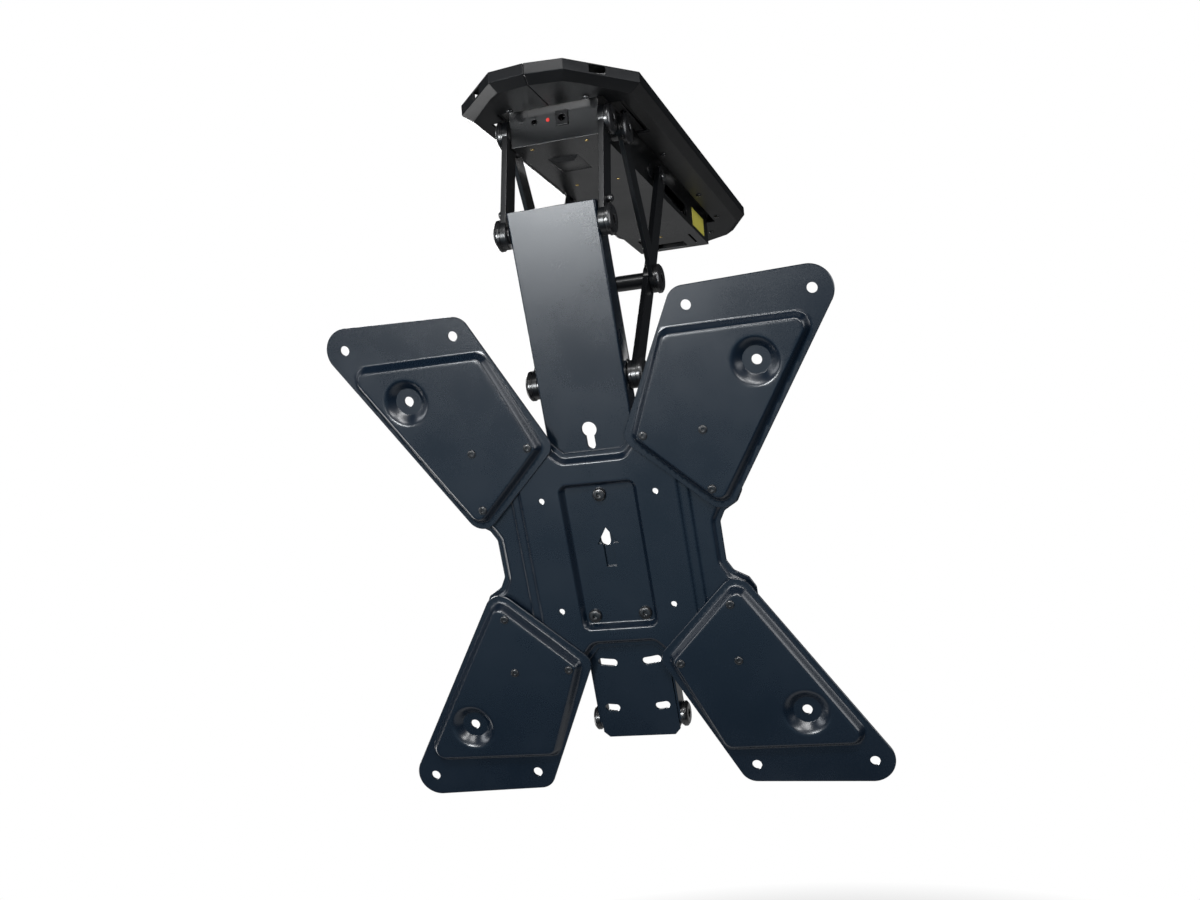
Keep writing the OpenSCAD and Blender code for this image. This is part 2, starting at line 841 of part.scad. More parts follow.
// Folded channel of the arm: front web and two cheeks
module arm_channel() {
    color(plate_steel) on_plate() difference() {
        union() {
            translate([-cheek_in - arm_t / 2, channel_front, web_low])
                cube([2 * cheek_in + arm_t, arm_t, arm_up - web_low]);
            both_sides() side_sheet(cheek_in, cheek_out) cheek_view();
            translate([-cheek_in - arm_t / 2, channel_front + arm_t / 2, arm_up - 2 * arm_t])
                cube([2 * cheek_in + arm_t, arm_back - channel_front - 6, arm_t]);
        }
        keyhole(channel_front - cut, channel_front + arm_t + cut);
        upper_pivot_holes();
    }
}

// Thin front cover of the arm with side lips
module arm_front_cover() {
    low = web_low;
    top = arm_up + skin_t;
    color(plate_steel) on_plate() difference() {
        translate([-arm_w / 2, arm_front, low]) cube([arm_w, skin_t + skin_lip, top - low]);
        translate([-cheek_out, arm_front + skin_t, low - cut])
            cube([2 * cheek_out, skin_lip + cut, arm_up - low + cut]);
        keyhole(arm_front - cut, arm_front + skin_t + cut);
        upper_pivot_holes();
    }
}

// Bolts of the upper arm pivots, riveted in the arm
module upper_pivot_bolts() {
    color(gloss) both_sides() pivot_bolt(upper_pivot, cheek_in, front_head_x + 0.1);
}

// Washers between the arm and the front links
module upper_pivot_spacers() {
    color(gloss) both_sides() difference() {
        pin(upper_pivot, arm_w / 2, link_x - 0.1, 7.5);
        pin(upper_pivot, cheek_out - cut, link_x + cut, shank_r);
    }
}

// Bolts of the tilt pivots, fixed in the arm
module tilt_pivot_bolts() {
    nut_t = 3;
    color(gloss) on_plate() both_sides() {
        pivot_bolt(tilt_at, bracket_out - bracket_t - nut_t, cheek_out, 11);
        pin(tilt_at, bracket_out - bracket_t - nut_t - 0.2, bracket_out - bracket_t - 0.2, 6.5);
    }
}

// Ring segment used as a cutter for the curved slots
module arc_slot(at, r_slot, swing, d0, d1) {
    v = at - [0, level_at];
    radius = norm(v);
    mid = atan2(v[1], v[0]);
    translate([0, d1, level_at]) rotate([90, 0, 0]) {
        rotate([0, 0, mid - swing]) rotate_extrude(angle = 2 * swing)
            translate([radius - r_slot, 0]) square([2 * r_slot, d1 - d0]);
        for (a = [mid - swing, mid + swing])
            translate([radius * cos(a), radius * sin(a), 0])
                cylinder(h = d1 - d0, r = r_slot);
    }
}

// Side cheek of the tilt bracket: depth, then height
module bracket_view() {
    back = tilt_at[0] + tail_r;
    front = arm_front + bracket_t;
    difference() {
        union() {
            translate([front, -tilt_low]) square([back - front, tilt_low + bracket_high]);
            translate(tilt_at) circle(tail_r);
            translate([front, -bracket_low + 6]) square([6, bracket_low - tilt_low]);
        }
        translate(tilt_at) circle(shank_r + fit);
    }
}

// Bracket that carries the screen plate and tilts on the arm
module tilt_bracket() {
    d0 = arm_front;
    d1 = arm_front + bracket_t;
    corner = 5;
    color(plate_steel) on_plate() {
        difference() {
            plate_slab(d0, d1) polygon([
                [-bracket_out, bracket_high], [bracket_out, bracket_high],
                [bracket_out, -bracket_low + corner], [bracket_out - corner, -bracket_low],
                [-bracket_out + corner, -bracket_low], [-bracket_out, -bracket_low + corner]]);
            translate([0, d0 - cut, level_at]) rotate([-90, 0, 0])
                cylinder(h = bracket_t + 2 * cut, r = plate_bolt_r + fit);
            plate_slab(d0 - cut, d1 + cut) for (z = [8.4, arrow_tip - 2])
                translate([-2.2, z]) circle(4.3);
            plate_slab(d0 - cut, d1 + cut)
                translate([-6.5, 8.4]) square([8.6, arrow_tip - 10.4]);
            for (x = [-1, 1]) {
                arc_slot([x * foot_bolt[0], foot_bolt[1]], plate_bolt_r + gap,
                    level_swing + 0.6, d0 - cut, d1 + cut);
                arc_slot([x * 20, -103], 3.2, level_swing, d0 - cut, d1 + cut);
                arc_slot([x * 22.8, -146], 3.2, level_swing - 1, d0 - cut, d1 + cut);
            }
        }
        both_sides() side_sheet(bracket_out - bracket_t, bracket_out) bracket_view();
    }
}

// Flat shape of the centre plate, first quarter: waist, lobe and top lip
centre_quarter = [[99, 0], [99, 17], [104, 26], [116, 33], [121, 42], [121, 56], [110, 75],
    [110, 102], [104, 108], [44, 108], [25, 88], [0, 88]];
function turned(points, sx, sz) = [for (p = points) [sx * p[0], sz * p[1]]];
function reversed(points) = [for (i = [len(points) - 1:-1:0]) points[i]];
centre_points = concat(centre_quarter, reversed(turned(centre_quarter, -1, 1)),
    turned(centre_quarter, -1, -1), reversed(turned(centre_quarter, 1, -1)));
strip_in = 5;
field_w = 66;
field_h = 79;

// Extrudes a plate outline between two depths
module plate_slab(depth0, depth1) {
    translate([0, depth1, 0]) rotate([90, 0, 0]) linear_extrude(depth1 - depth0) children();
}

// Outline of the centre plate with round corners, drawn in by a distance
module centre_outline(inset) {
    offset(-4 - inset, $fn = 24) offset(8, $fn = 24) offset(-4, $fn = 24)
        polygon(centre_points);
}

// Block with sloping sides between two depths, for pressed shapes
module pressed_block(depth0, half0, depth1, half1) {
    hull() {
        plate_slab(depth0, depth0 + 0.01) block_outline(half0);
        plate_slab(depth1 - 0.01, depth1) block_outline(half1);
    }
}

module block_outline(half) {
    for (x = [-1, 1], z = [0, 1])
        translate([x * (half[0] - half[3]), z == 1 ? half[1] - half[3] : half[2] + half[3]])
            circle(half[3], $fn = 24);
}

// Centre plate: outer flange, low strip, pressed field and a recess down to the bracket
module centre_plate() {
    slope = 4;
    half = recess_w / 2;
    wall = sheet * 1.2;
    color(plate_steel) on_plate() difference() {
        union() {
            difference() {
                union() {
                    plate_slab(flange_front, plate_back) centre_outline(0);
                    plate_slab(strip_front, flange_front) centre_outline(strip_in);
                    pressed_block(field_front, [field_w, field_h, -field_h, 5],
                        strip_front + 0.1,
                        [field_w + slope, field_h + slope - 1, 1 - slope - field_h, 6]);
                }
                plate_slab(strip_front + sheet, plate_back + cut)
                    centre_outline(strip_in + sheet);
                pressed_block(field_front + sheet,
                    [field_w - 1, field_h - 1, 1 - field_h, 4], strip_front + sheet + 0.1,
                    [field_w + slope - 2, field_h + slope - 3, 3 - slope - field_h, 4]);
            }
            pressed_block(field_front + 0.1,
                [half + slope + wall, recess_top + slope + wall + 2, recess_low - slope - wall, 8],
                plate_back, [half + wall, recess_top + wall, recess_low - wall, 6]);
        }
        pressed_block(field_front - cut, [half + slope, recess_top + slope + 2,
            recess_low - slope, 6], flange_front, [half, recess_top, recess_low, 4]);
        for (x = [-1, 1], z = [-1, 1])
            translate([x * vesa_s / 2, field_front - cut, z * vesa_s / 2])
                rotate([-90, 0, 0]) cylinder(h = press_centre, r = 2.6);
        translate([0, flange_front - cut, level_at]) rotate([-90, 0, 0])
            cylinder(h = sheet + 2 * cut, r = plate_bolt_r);
        for (x = [-1, 1])
            translate([x * foot_bolt[0], flange_front - cut, foot_bolt[1]])
                rotate([-90, 0, 0]) cylinder(h = sheet + 2 * cut, r = plate_bolt_r);
        plate_slab(flange_front - cut, plate_back + cut) arrow_view();
        for (p = corner_screw_places, x = [-1, 1], z = [-1, 1])
            translate([x * p[0], strip_front - cut, z * p[1]])
                rotate([-90, 0, 0]) cylinder(h = sheet + 2 * cut, r = corner_screw_r);
    }
}

// Arrow that shows which way is up
module arrow_view() {
    polygon([[0, arrow_tip], [9.5, 6], [4.6, 6], [4.6, -14.7], [-4.6, -14.7], [-4.6, 6],
        [-9.5, 6]]);
}

corner_screw_r = 2.4;
bevel_w = 3;
corner_screw_places = [[100, 100], [50, 100], [100, 50]];
flange_rounds = [[197, 199, 20], [99, 201, 15], [44, 99, 12], [105, 46, 15]];
panel_rounds = [[183, 172, 12], [84, 172, 12], [47, 99, 7], [105, 48.3, 11]];

// Outline through round corners, drawn in by a distance
module round_outline(corners, inset) {
    hull() for (c = corners)
        translate([c[0], c[1]]) circle(max(c[2] - inset, 0.5), $fn = 32);
}

// Pressed corner plate with a wide flange end, a raised panel and a dished screw seat,
// drawn with the front face of its flange at no depth
module corner_plate() {
    dish_r = 21;
    seat_r = 12.5;
    seat_front = -1.5;
    difference() {
        union() {
            plate_slab(0, sheet) round_outline(flange_rounds, 0);
            hull() {
                plate_slab(0, sheet) round_outline(panel_rounds, 0);
                plate_slab(-press_corner, -press_corner + sheet)
                    round_outline(panel_rounds, bevel_w);
            }
        }
        hull() {
            plate_slab(sheet, sheet + cut) round_outline(panel_rounds, sheet);
            plate_slab(-press_corner + sheet, -press_corner + sheet + 0.1)
                round_outline(panel_rounds, bevel_w + sheet);
        }
        screw_dish(-press_corner - cut, seat_front, dish_r + 1, seat_r);
        for (p = corner_screw_places)
            translate([p[0], -press_corner - cut, p[1]])
                rotate([-90, 0, 0]) cylinder(h = sheet + 2 * cut, r = corner_screw_r);
        for (x = [vesa_n / 2, vesa_l / 2])
            translate([x, -cut, vesa_l / 2])
                rotate([-90, 0, 0]) cylinder(h = sheet + 2 * cut, r = vesa_d / 2);
    }
    difference() {
        screw_dish(-press_corner + 0.1, seat_front + sheet, dish_r + sheet, seat_r + sheet);
        screw_dish(-press_corner - cut, seat_front, dish_r + 1, seat_r);
        screw_dish(-press_corner, sheet + cut, vesa_d / 2, vesa_d / 2);
    }
}

// Round piece at a hole of the middle square, between two depths
module screw_dish(depth0, depth1, r0, r1) {
    translate([vesa_m / 2, depth0, vesa_m / 2]) rotate([-90, 0, 0])
        cylinder(h = depth1 - depth0, r1 = r0, r2 = r1);
}

// Places its children at the depth of the corner plates
module on_corners() {
    on_plate() translate([0, corner_front, 0]) children();
}

module corner_plate_upper_right() {
    color(plate_steel) on_corners() corner_plate();
}

module corner_plate_upper_left() {
    color(plate_steel) on_corners() mirror([1, 0, 0]) corner_plate();
}

module corner_plate_lower_right() {
    color(plate_steel) on_corners() mirror([0, 0, 1]) corner_plate();
}

module corner_plate_lower_left() {
    color(plate_steel) on_corners() mirror([1, 0, 0]) mirror([0, 0, 1]) corner_plate();
}

// Small screw seen from the front of the plate: head, socket and shank
module plate_screw(x, z, seat, back, r, head_ratio, head_h) {
    translate([x, seat, z]) rotate([90, 0, 0]) difference() {
        union() {
            cylinder(h = head_h, r1 = r * head_ratio, r2 = r * head_ratio * 0.85);
            translate([0, 0, seat - back]) cylinder(h = back - seat, r = r);
        }
        translate([0, 0, head_h * 0.4]) cylinder(h = head_h, r = r * 0.75, $fn = 6);
    }
}

// Screws that hold the corner plates to the centre plate
module corner_screws() {
    color(gloss) on_plate()
        for (p = corner_screw_places, x = [-1, 1], z = [-1, 1])
            plate_screw(x * p[0], z * p[1], corner_front - press_corner,
                strip_front + sheet, corner_screw_r, 1.5, 1.4);
}

// Sleeves that hold the panels of the corner plates off the centre plate
module corner_spacers() {
    front = corner_front - press_corner + sheet;
    color(gloss) on_plate()
        for (p = corner_screw_places, x = [-1, 1], z = [-1, 1])
            translate([x * p[0], front, z * p[1]]) rotate([-90, 0, 0]) difference() {
                cylinder(h = strip_front - front, r = corner_screw_r + 1);
                translate([0, 0, -cut])
                    cylinder(h = strip_front - front + 2 * cut, r = corner_screw_r);
            }
}

// Bolts that hold the screen plate to the tilt bracket
module screen_plate_bolts() {
    back = arm_front + bracket_t + gap;
    nut_t = 4;
    places = [[0, level_at], [foot_bolt[0], foot_bolt[1]], [-foot_bolt[0], foot_bolt[1]]];
    color(gloss) on_plate() for (p = places) {
        plate_screw(p[0], p[1], flange_front, back + nut_t, plate_bolt_r, 1.9, 3.4);
        translate([p[0], back, p[1]]) rotate([-90, 0, 0]) cylinder(h = nut_t, r = 5.5, $fn = 6);
    }
}

ceiling_plate();
cover_left();
cover_right();
cover_screws();
motor_housing();
housing_screws();
housing_rivets();
power_jack();
remote_jack();
status_light();
control_board();
gear_motor();
gearbox();
screw_bearings();
guide_rods();
limit_switches();
blank_label();
front_pivot_bolts();
rear_pivot_bolts();
rear_pivot_spacers();
lead_screw();
shaft_coupler();
front_link_left();
front_link_right();
link_stop_pins();
crank_left();
crank_right();
cross_tube();
middle_pivot_bolts();
long_arm_left();
long_arm_right();
lower_pivot_bolts();
carriage();
drive_nut();
slider_pins();
slider_clips();
arm_channel();
arm_front_cover();
upper_pivot_bolts();
upper_pivot_spacers();
tilt_pivot_bolts();
tilt_bracket();
centre_plate();
corner_plate_upper_left();
corner_plate_upper_right();
corner_plate_lower_left();
corner_plate_lower_right();
corner_screws();
corner_spacers();
screen_plate_bolts();
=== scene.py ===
import json
import math

import bmesh
import bpy
import numpy as np
from mathutils import Matrix, Vector, geometry
from mathutils.kdtree import KDTree


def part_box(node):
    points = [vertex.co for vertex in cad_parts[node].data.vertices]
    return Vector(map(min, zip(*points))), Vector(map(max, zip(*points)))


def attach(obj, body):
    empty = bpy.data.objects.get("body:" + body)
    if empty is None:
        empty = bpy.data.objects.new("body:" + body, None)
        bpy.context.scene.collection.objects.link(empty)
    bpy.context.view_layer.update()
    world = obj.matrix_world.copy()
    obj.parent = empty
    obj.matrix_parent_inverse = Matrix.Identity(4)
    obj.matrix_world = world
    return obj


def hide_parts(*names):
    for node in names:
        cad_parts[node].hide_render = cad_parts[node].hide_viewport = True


# %% [markdown]
# # A motorised ceiling mount, dressed for a picture
# The real object is a steel linkage that swings a television plate down from the ceiling.
# It is almost all black, so its looks come from three things: the soft pressed shapes of
# the sheet steel, the grain of the powder coat, and the glints on edges and bolt heads.
# The frame gives every piece its place. This script adds the soft edges and the finishes.

# %% Load the frame and keep its box
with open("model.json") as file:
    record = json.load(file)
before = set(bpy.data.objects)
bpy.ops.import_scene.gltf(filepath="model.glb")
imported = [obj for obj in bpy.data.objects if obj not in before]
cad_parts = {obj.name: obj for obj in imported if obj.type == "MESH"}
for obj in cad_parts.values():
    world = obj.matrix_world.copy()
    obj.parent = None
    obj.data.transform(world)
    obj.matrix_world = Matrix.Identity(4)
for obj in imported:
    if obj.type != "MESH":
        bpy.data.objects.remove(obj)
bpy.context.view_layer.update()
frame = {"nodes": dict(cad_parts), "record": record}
nodes = frame["nodes"]
scene = bpy.context.scene
MM = 0.001
body_of_node = {}
for body, members in frame["record"]["behaviour"]["bodies"].items():
    for member in members:
        body_of_node[member] = body
slot_of_node = {part["node"]: part["material_slot"] for part in frame["record"]["subparts"]}

# %% [markdown]
# ## Writing finishes as sums
# A finish is a small network of nodes. Networks are hard to read as code, but sums are
# easy. `Wire` wraps one output of a node, so that `0.3 + 0.2 * grain` adds the nodes by
# itself. Every other node comes from the one method `node`.

# %% A wire between shader nodes
class Wire:
    """One output in a material's tree, which can be added, multiplied and so on."""

    def __init__(self, tree, end=None):
        self.tree = tree
        self.end = end

    def node(self, kind, settings=None, values=None, out=0):
        """Adds a node: settings first, then values or wires for its sockets."""
        made = self.tree.nodes.new(kind)
        for key, value in (settings or {}).items():
            if key == "stops":
                ramp = made.color_ramp
                while len(ramp.elements) > 1:
                    ramp.elements.remove(ramp.elements[-1])
                for count, (place, colour) in enumerate(value):
                    stop = ramp.elements[0] if count == 0 else ramp.elements.new(place)
                    stop.position = place
                    stop.color = colour
            else:
                setattr(made, key, value)
        for key, value in (values or {}).items():
            if isinstance(value, Wire):
                self.tree.links.new(value.end, made.inputs[key])
            else:
                made.inputs[key].default_value = value
        return Wire(self.tree, made.outputs[out])

    def sum(self, operation, first, second=0.0, clamp=False):
        return self.node("ShaderNodeMath", {"operation": operation, "use_clamp": clamp},
                         {0: first, 1: second})

    def __add__(self, other):
        return self.sum("ADD", self, other)

    __radd__ = __add__

    def __mul__(self, other):
        return self.sum("MULTIPLY", self, other)

    __rmul__ = __mul__

    def __sub__(self, other):
        return self.sum("SUBTRACT", self, other)

    def __rsub__(self, other):
        return self.sum("SUBTRACT", other, self)

    def __pow__(self, other):
        return self.sum("POWER", self, other)

    def clamped(self):
        return self.sum("ADD", self, 0.0, clamp=True)

    def between(self, low, high):
        """0 below low, 1 above high, and a straight climb between."""
        return self.node("ShaderNodeMapRange", {}, {0: self, 1: low, 2: high})

    def blend(self, dark, light):
        """A colour that goes from dark to light as this value goes from 0 to 1."""
        return self.node("ShaderNodeMix", {"data_type": "RGBA"},
                         {0: self, 6: dark, 7: light}, out=2)

    def noise(self, size, detail=2.0, rough=0.5):
        """Cloudy noise on this vector, with lumps of about that size in metres."""
        return self.node("ShaderNodeTexNoise", {},
                         {"Vector": self, "Scale": 1 / size, "Detail": detail,
                          "Roughness": rough})


def new_finish(name):
    """An empty material with a Principled shader: gives material, shader and a wire."""
    made = bpy.data.materials.new(name)
    made.use_nodes = True
    shader = made.node_tree.nodes["Principled BSDF"]
    return made, shader, Wire(made.node_tree)


def plug(wire, socket):
    wire.tree.links.new(wire.end, socket)


print("wires ready")

# %% [markdown]
# ## Powder coat
# Powder is sprayed on steel dry and then baked, so it flows into a skin with a fine
# orange-peel grain. Two things make it read as powder coat: the grain is a bump about half a
# millimetre across, and the gloss changes a little with it. A broad, faint cloud keeps large
# plates from looking like flat paint.

# %% Powder coat finishes
def powder_coat(name, dark, light, rough, grain_depth, grain=0.0007):
    made, shader, wire = new_finish(name)
    place = wire.node("ShaderNodeTexCoord", out="Object")
    peel = place.noise(grain, 3.0, 0.6)
    speck = place.noise(grain * 0.35, 1.0)
    cloud = place.noise(0.09, 3.0, 0.55)
    tone = (0.55 * cloud + 0.45 * peel).between(0.3, 0.7)
    plug(tone.blend(dark, light), shader.inputs["Base Color"])
    plug(rough - 0.05 + 0.08 * peel + 0.06 * cloud.between(0.35, 0.65),
         shader.inputs["Roughness"])
    height = 0.7 * peel + 0.3 * speck
    bump = wire.node("ShaderNodeBump", {},
                     {"Strength": 0.5, "Distance": grain_depth, "Height": height})
    plug(bump, shader.inputs["Normal"])
    return made


finish = {
    "steel_powder_coat": powder_coat(
        "steel_powder_coat", (0.0020, 0.0023, 0.0028, 1), (0.0034, 0.0039, 0.0047, 1),
        0.29, 0.00004),
    "plate_powder_coat": powder_coat(
        "plate_powder_coat", (0.0012, 0.0038, 0.0080, 1), (0.0021, 0.0058, 0.0118, 1),
        0.26, 0.00003),
}
print("powder coats", sorted(finish))

# %% [markdown]
# ## Moulded plastic and gloss black
# The cover is injection moulded. Its mould was etched, which leaves a fine even grain with
# hardly any gloss. The bolts are the other way round: smooth black oxide with oil on it,
# so they mirror the lamps.

# %% Plastic and bolt finishes
def grained_plastic(name, colour, pale, rough, depth, grain=0.0005):
    made, shader, wire = new_finish(name)
    place = wire.node("ShaderNodeTexCoord", out="Object")
    cells = place.node("ShaderNodeTexVoronoi", {"feature": "F1"},
                       {"Vector": place, "Scale": 1 / grain}, out="Distance")
    cloud = place.noise(0.05, 2.0)
    plug(cloud.between(0.3, 0.7).blend(colour, pale), shader.inputs["Base Color"])
    plug(rough + 0.1 * cells - 0.04 * cloud, shader.inputs["Roughness"])
    bump = wire.node("ShaderNodeBump", {},
                     {"Strength": 0.4, "Distance": depth, "Height": cells})
    plug(bump, shader.inputs["Normal"])
    shader.inputs["Specular IOR Level"].default_value = 0.22
    return made


def oiled_black(name):
    made, shader, wire = new_finish(name)
    place = wire.node("ShaderNodeTexCoord", out="Object")
    smear = place.noise(0.004, 3.0, 0.6)
    fine = place.noise(0.0006, 2.0)
    plug(smear.between(0.35, 0.7).blend((0.004, 0.004, 0.0045, 1), (0.009, 0.009, 0.01, 1)),
         shader.inputs["Base Color"])
    plug(0.27 + 0.12 * smear.between(0.4, 0.75), shader.inputs["Roughness"])
    bump = wire.node("ShaderNodeBump", {},
                     {"Strength": 0.25, "Distance": 0.00002, "Height": fine})
    plug(bump, shader.inputs["Normal"])
    shader.inputs["Coat Weight"].default_value = 0.3
    shader.inputs["Coat Roughness"].default_value = 0.12
    return made


finish["cover_plastic"] = grained_plastic(
    "cover_plastic", (0.0020, 0.0023, 0.0028, 1), (0.0036, 0.0040, 0.0048, 1), 0.38, 0.00005)
finish["black_plastic"] = grained_plastic(
    "black_plastic", (0.004, 0.004, 0.0045, 1), (0.007, 0.007, 0.0075, 1), 0.28, 0.00001)
finish["black_bolts"] = oiled_black("black_bolts")
print("plastics and bolts", len(finish))

# %% [markdown]
# ## Bare metal, board, light and label
# Ground steel has scratches that run one way, so its noise is squeezed along one axis by a
# Mapping node. Brass dulls in patches. The board gets copper tracks under green lacquer, and
# the label is plain film: a yellow field with a faintly worn gloss and nothing printed on it.

# %% Metal finishes
def ground_metal(name, colour, worn, rough, squeeze=(300, 4000, 4000)):
    made, shader, wire = new_finish(name)
    place = wire.node("ShaderNodeTexCoord", out="Object")
    drawn = place.node("ShaderNodeMapping", {}, {"Vector": place, "Scale": squeeze})
    lines = drawn.node("ShaderNodeTexNoise", {}, {"Vector": drawn, "Scale": 1.0, "Detail": 2.0})
    patch = place.noise(0.006, 2.0)
    plug(patch.between(0.35, 0.7).blend(colour, worn), shader.inputs["Base Color"])
    plug(rough + 0.14 * lines, shader.inputs["Roughness"])
    bump = wire.node("ShaderNodeBump", {},
                     {"Strength": 0.3, "Distance": 0.00002, "Height": lines})
    plug(bump, shader.inputs["Normal"])
    shader.inputs["Metallic"].default_value = 1.0
    return made


finish["bright_steel"] = ground_metal(
    "bright_steel", (0.42, 0.43, 0.44, 1), (0.30, 0.30, 0.31, 1), 0.25)
finish["brass"] = ground_metal("brass", (0.55, 0.40, 0.16, 1), (0.34, 0.24, 0.10, 1), 0.28,
                               (900, 900, 900))
print("metals ready")

# %% Light, board and label finishes
def glowing_window(name):
    made, shader, wire = new_finish(name)
    place = wire.node("ShaderNodeTexCoord", out="Object")
    haze = place.noise(0.0008, 2.0)
    plug(haze.blend((0.35, 0.01, 0.008, 1), (0.6, 0.03, 0.02, 1)), shader.inputs["Base Color"])
    plug(haze.blend((0.3, 0.004, 0.002, 1), (0.7, 0.02, 0.01, 1)),
         shader.inputs["Emission Color"])
    shader.inputs["Emission Strength"].default_value = 0.15
    plug(0.2 + 0.1 * haze, shader.inputs["Roughness"])
    return made


def lacquered_board(name):
    made, shader, wire = new_finish(name)
    place = wire.node("ShaderNodeTexCoord", out="Object")
    tracks = place.node("ShaderNodeTexBrick", {}, {
        "Vector": place, "Scale": 140.0, "Mortar Size": 0.03,
        "Color1": (0, 0, 0, 1), "Color2": (0, 0, 0, 1), "Mortar": (1, 1, 1, 1)})
    shade = tracks.node("ShaderNodeRGBToBW", {}, {0: tracks})
    plug(shade.blend((0.012, 0.09, 0.04, 1), (0.05, 0.2, 0.08, 1)),
         shader.inputs["Base Color"])
    plug(0.25 + 0.15 * shade, shader.inputs["Roughness"])
    return made


def plain_film(name):
    made, shader, wire = new_finish(name)
    place = wire.node("ShaderNodeTexCoord", out="Object")
    wear = place.noise(0.012, 3.0, 0.6)
    grain = place.noise(0.0006, 1.0)
    plug(wear.between(0.3, 0.75).blend((0.66, 0.6, 0.09, 1), (0.58, 0.52, 0.1, 1)),
         shader.inputs["Base Color"])
    plug(0.38 + 0.14 * wear, shader.inputs["Roughness"])
    bump = wire.node("ShaderNodeBump", {},
                     {"Strength": 0.15, "Distance": 0.00001, "Height": grain})
    plug(bump, shader.inputs["Normal"])
    return made


finish["light_red"] = glowing_window("light_red")
finish["board_green"] = lacquered_board("board_green")
finish["label_yellow"] = plain_film("label_yellow")
print("finishes", sorted(finish))

# %% [markdown]
# ## Give every piece of the frame its finish
# Each node of the frame names a material slot in the record. All nodes get their finish
# here. The ones that need a softer shape are replaced further down, and the new piece takes
# the same finish.

# %% Dress the frame
for name, piece in nodes.items():
    dressed = finish[slot_of_node[name]]
    if not piece.material_slots:
        piece.data.materials.append(dressed)
    for place in piece.material_slots:
        place.material = dressed
print("dressed", len(nodes))

# %% [markdown]
# ## Soft edges
# A solid model has knife edges, but bent sheet, sawn bar and moulded plastic never do. The
# rounded edge is thin, yet it is what catches the light. `soften` copies a node, joins its
# loose triangles, and bevels the edges that turn by more than a chosen angle. A `rules` list
# can give chosen edges a wider round, such as the long folds of a channel.

# %% A helper that softens edges
def link_piece(name, mesh, body, replaced):
    """Links a finished mesh as a piece on a body, standing for the given nodes."""
    piece = bpy.data.objects.new(name, mesh)
    scene.collection.objects.link(piece)
    slot = slot_of_node[replaced[0]]
    mesh.materials.clear()
    mesh.materials.append(finish[slot])
    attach(piece, body)
    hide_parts(*replaced)
    return piece


def smooth(mesh, angle, weighted=False):
    """Smooth shading with sharp edges kept. Weighted lets large faces stay truly flat."""
    mesh.shade_smooth()
    mesh.set_sharp_from_angle(angle=math.radians(angle))
    if not weighted:
        return
    around = [[] for _ in mesh.vertices]
    for face in mesh.polygons:
        for vert in face.vertices:
            around[vert].append(face.index)
    normals = [face.normal.copy() for face in mesh.polygons]
    areas = [face.area for face in mesh.polygons]
    limit = math.cos(math.radians(angle))
    turned = []
    for face in mesh.polygons:
        own = normals[face.index]
        for vert in face.vertices:
            total = Vector()
            for other in around[vert]:
                if normals[other].dot(own) > limit:
                    total += normals[other] * areas[other]
            turned.append(total.normalized() if total.length > 0 else own)
    mesh.normals_split_custom_set(turned)


def soften(node, width, segments=2, rules=(), angle=38):
    """A copy of a node with rounded edges, which stands for it."""
    mesh = nodes[node].data.copy()
    mesh.name = node + "_soft"
    form = bmesh.new()
    form.from_mesh(mesh)
    bmesh.ops.remove_doubles(form, verts=form.verts, dist=0.004 * MM)
    bmesh.ops.dissolve_limit(form, angle_limit=math.radians(0.6), verts=form.verts,
                             edges=form.edges)

    def sharp(edge):
        return edge.is_manifold and edge.calc_face_angle(0) > math.radians(angle)

    for chosen, wide, steps in rules:
        edges = [e for e in form.edges if sharp(e) and chosen(e.verts[0].co, e.verts[1].co)]
        bmesh.ops.bevel(form, geom=edges, offset=wide, segments=steps, profile=0.5,
                        affect="EDGES", clamp_overlap=True)
    edges = [e for e in form.edges if sharp(e) and e.calc_length() > width * 0.5]
    if width:
        bmesh.ops.bevel(form, geom=edges, offset=width, segments=segments, profile=0.5,
                        affect="EDGES", clamp_overlap=False)
    bmesh.ops.triangulate(form, faces=[f for f in form.faces if len(f.verts) > 4])
    form.to_mesh(mesh)
    form.free()
    smooth(mesh, 34, weighted=True)
    return link_piece(node + "_soft", mesh, body_of_node[node], [node])


print("soften ready")

# %% [markdown]
# ## Bars, tube, brackets and the housing
# The links are cut from flat bar and tumbled, so their edges are round by about half a
# millimetre. The folded housing is thinner sheet, with a tighter round.

# %% Soften the bars and sheets
for node in ("front_link_left", "front_link_right", "long_arm_left", "long_arm_right",
             "crank_left", "crank_right"):
    soften(node, 0.55 * MM, 3)
for node in ("link_stop_pins", "rear_pivot_spacers", "upper_pivot_spacers", "slider_pins",
             "slider_clips", "cross_tube"):
    soften(node, 0.25 * MM, 2)
for node in ("power_jack", "remote_jack", "tilt_bracket"):
    soften(node, 0.3 * MM, 2)
housing_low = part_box("motor_housing")[0]


def housing_fold(first, second):
    low = max(abs(first.z - housing_low.z), abs(second.z - housing_low.z)) < 0.3 * MM
    return low and (second - first).length > 60 * MM


soften("motor_housing", 0.25 * MM, 2, rules=[(housing_fold, 1.2 * MM, 4)])
for node in ("cover_left", "cover_right"):
    soften(node, 0.6 * MM, 3, angle=14)
print("softened bars, housing and cover")

# %% [markdown]
# ## The arm
# The arm is a channel with a thin skin over its front. Both are bent on a press, so the two
# long folds have a wide round while the cut edges stay crisp. The folds are found by their
# direction: they are the only long edges that run up the arm at its outer corners.

# %% Soften the arm
lean = math.radians(19.3)
up_plate = Vector((0, -math.sin(lean), math.cos(lean)))
depth_plate = Vector((0, math.cos(lean), math.sin(lean)))
plate_centre = Vector((0, -160 * MM, -382.8 * MM))


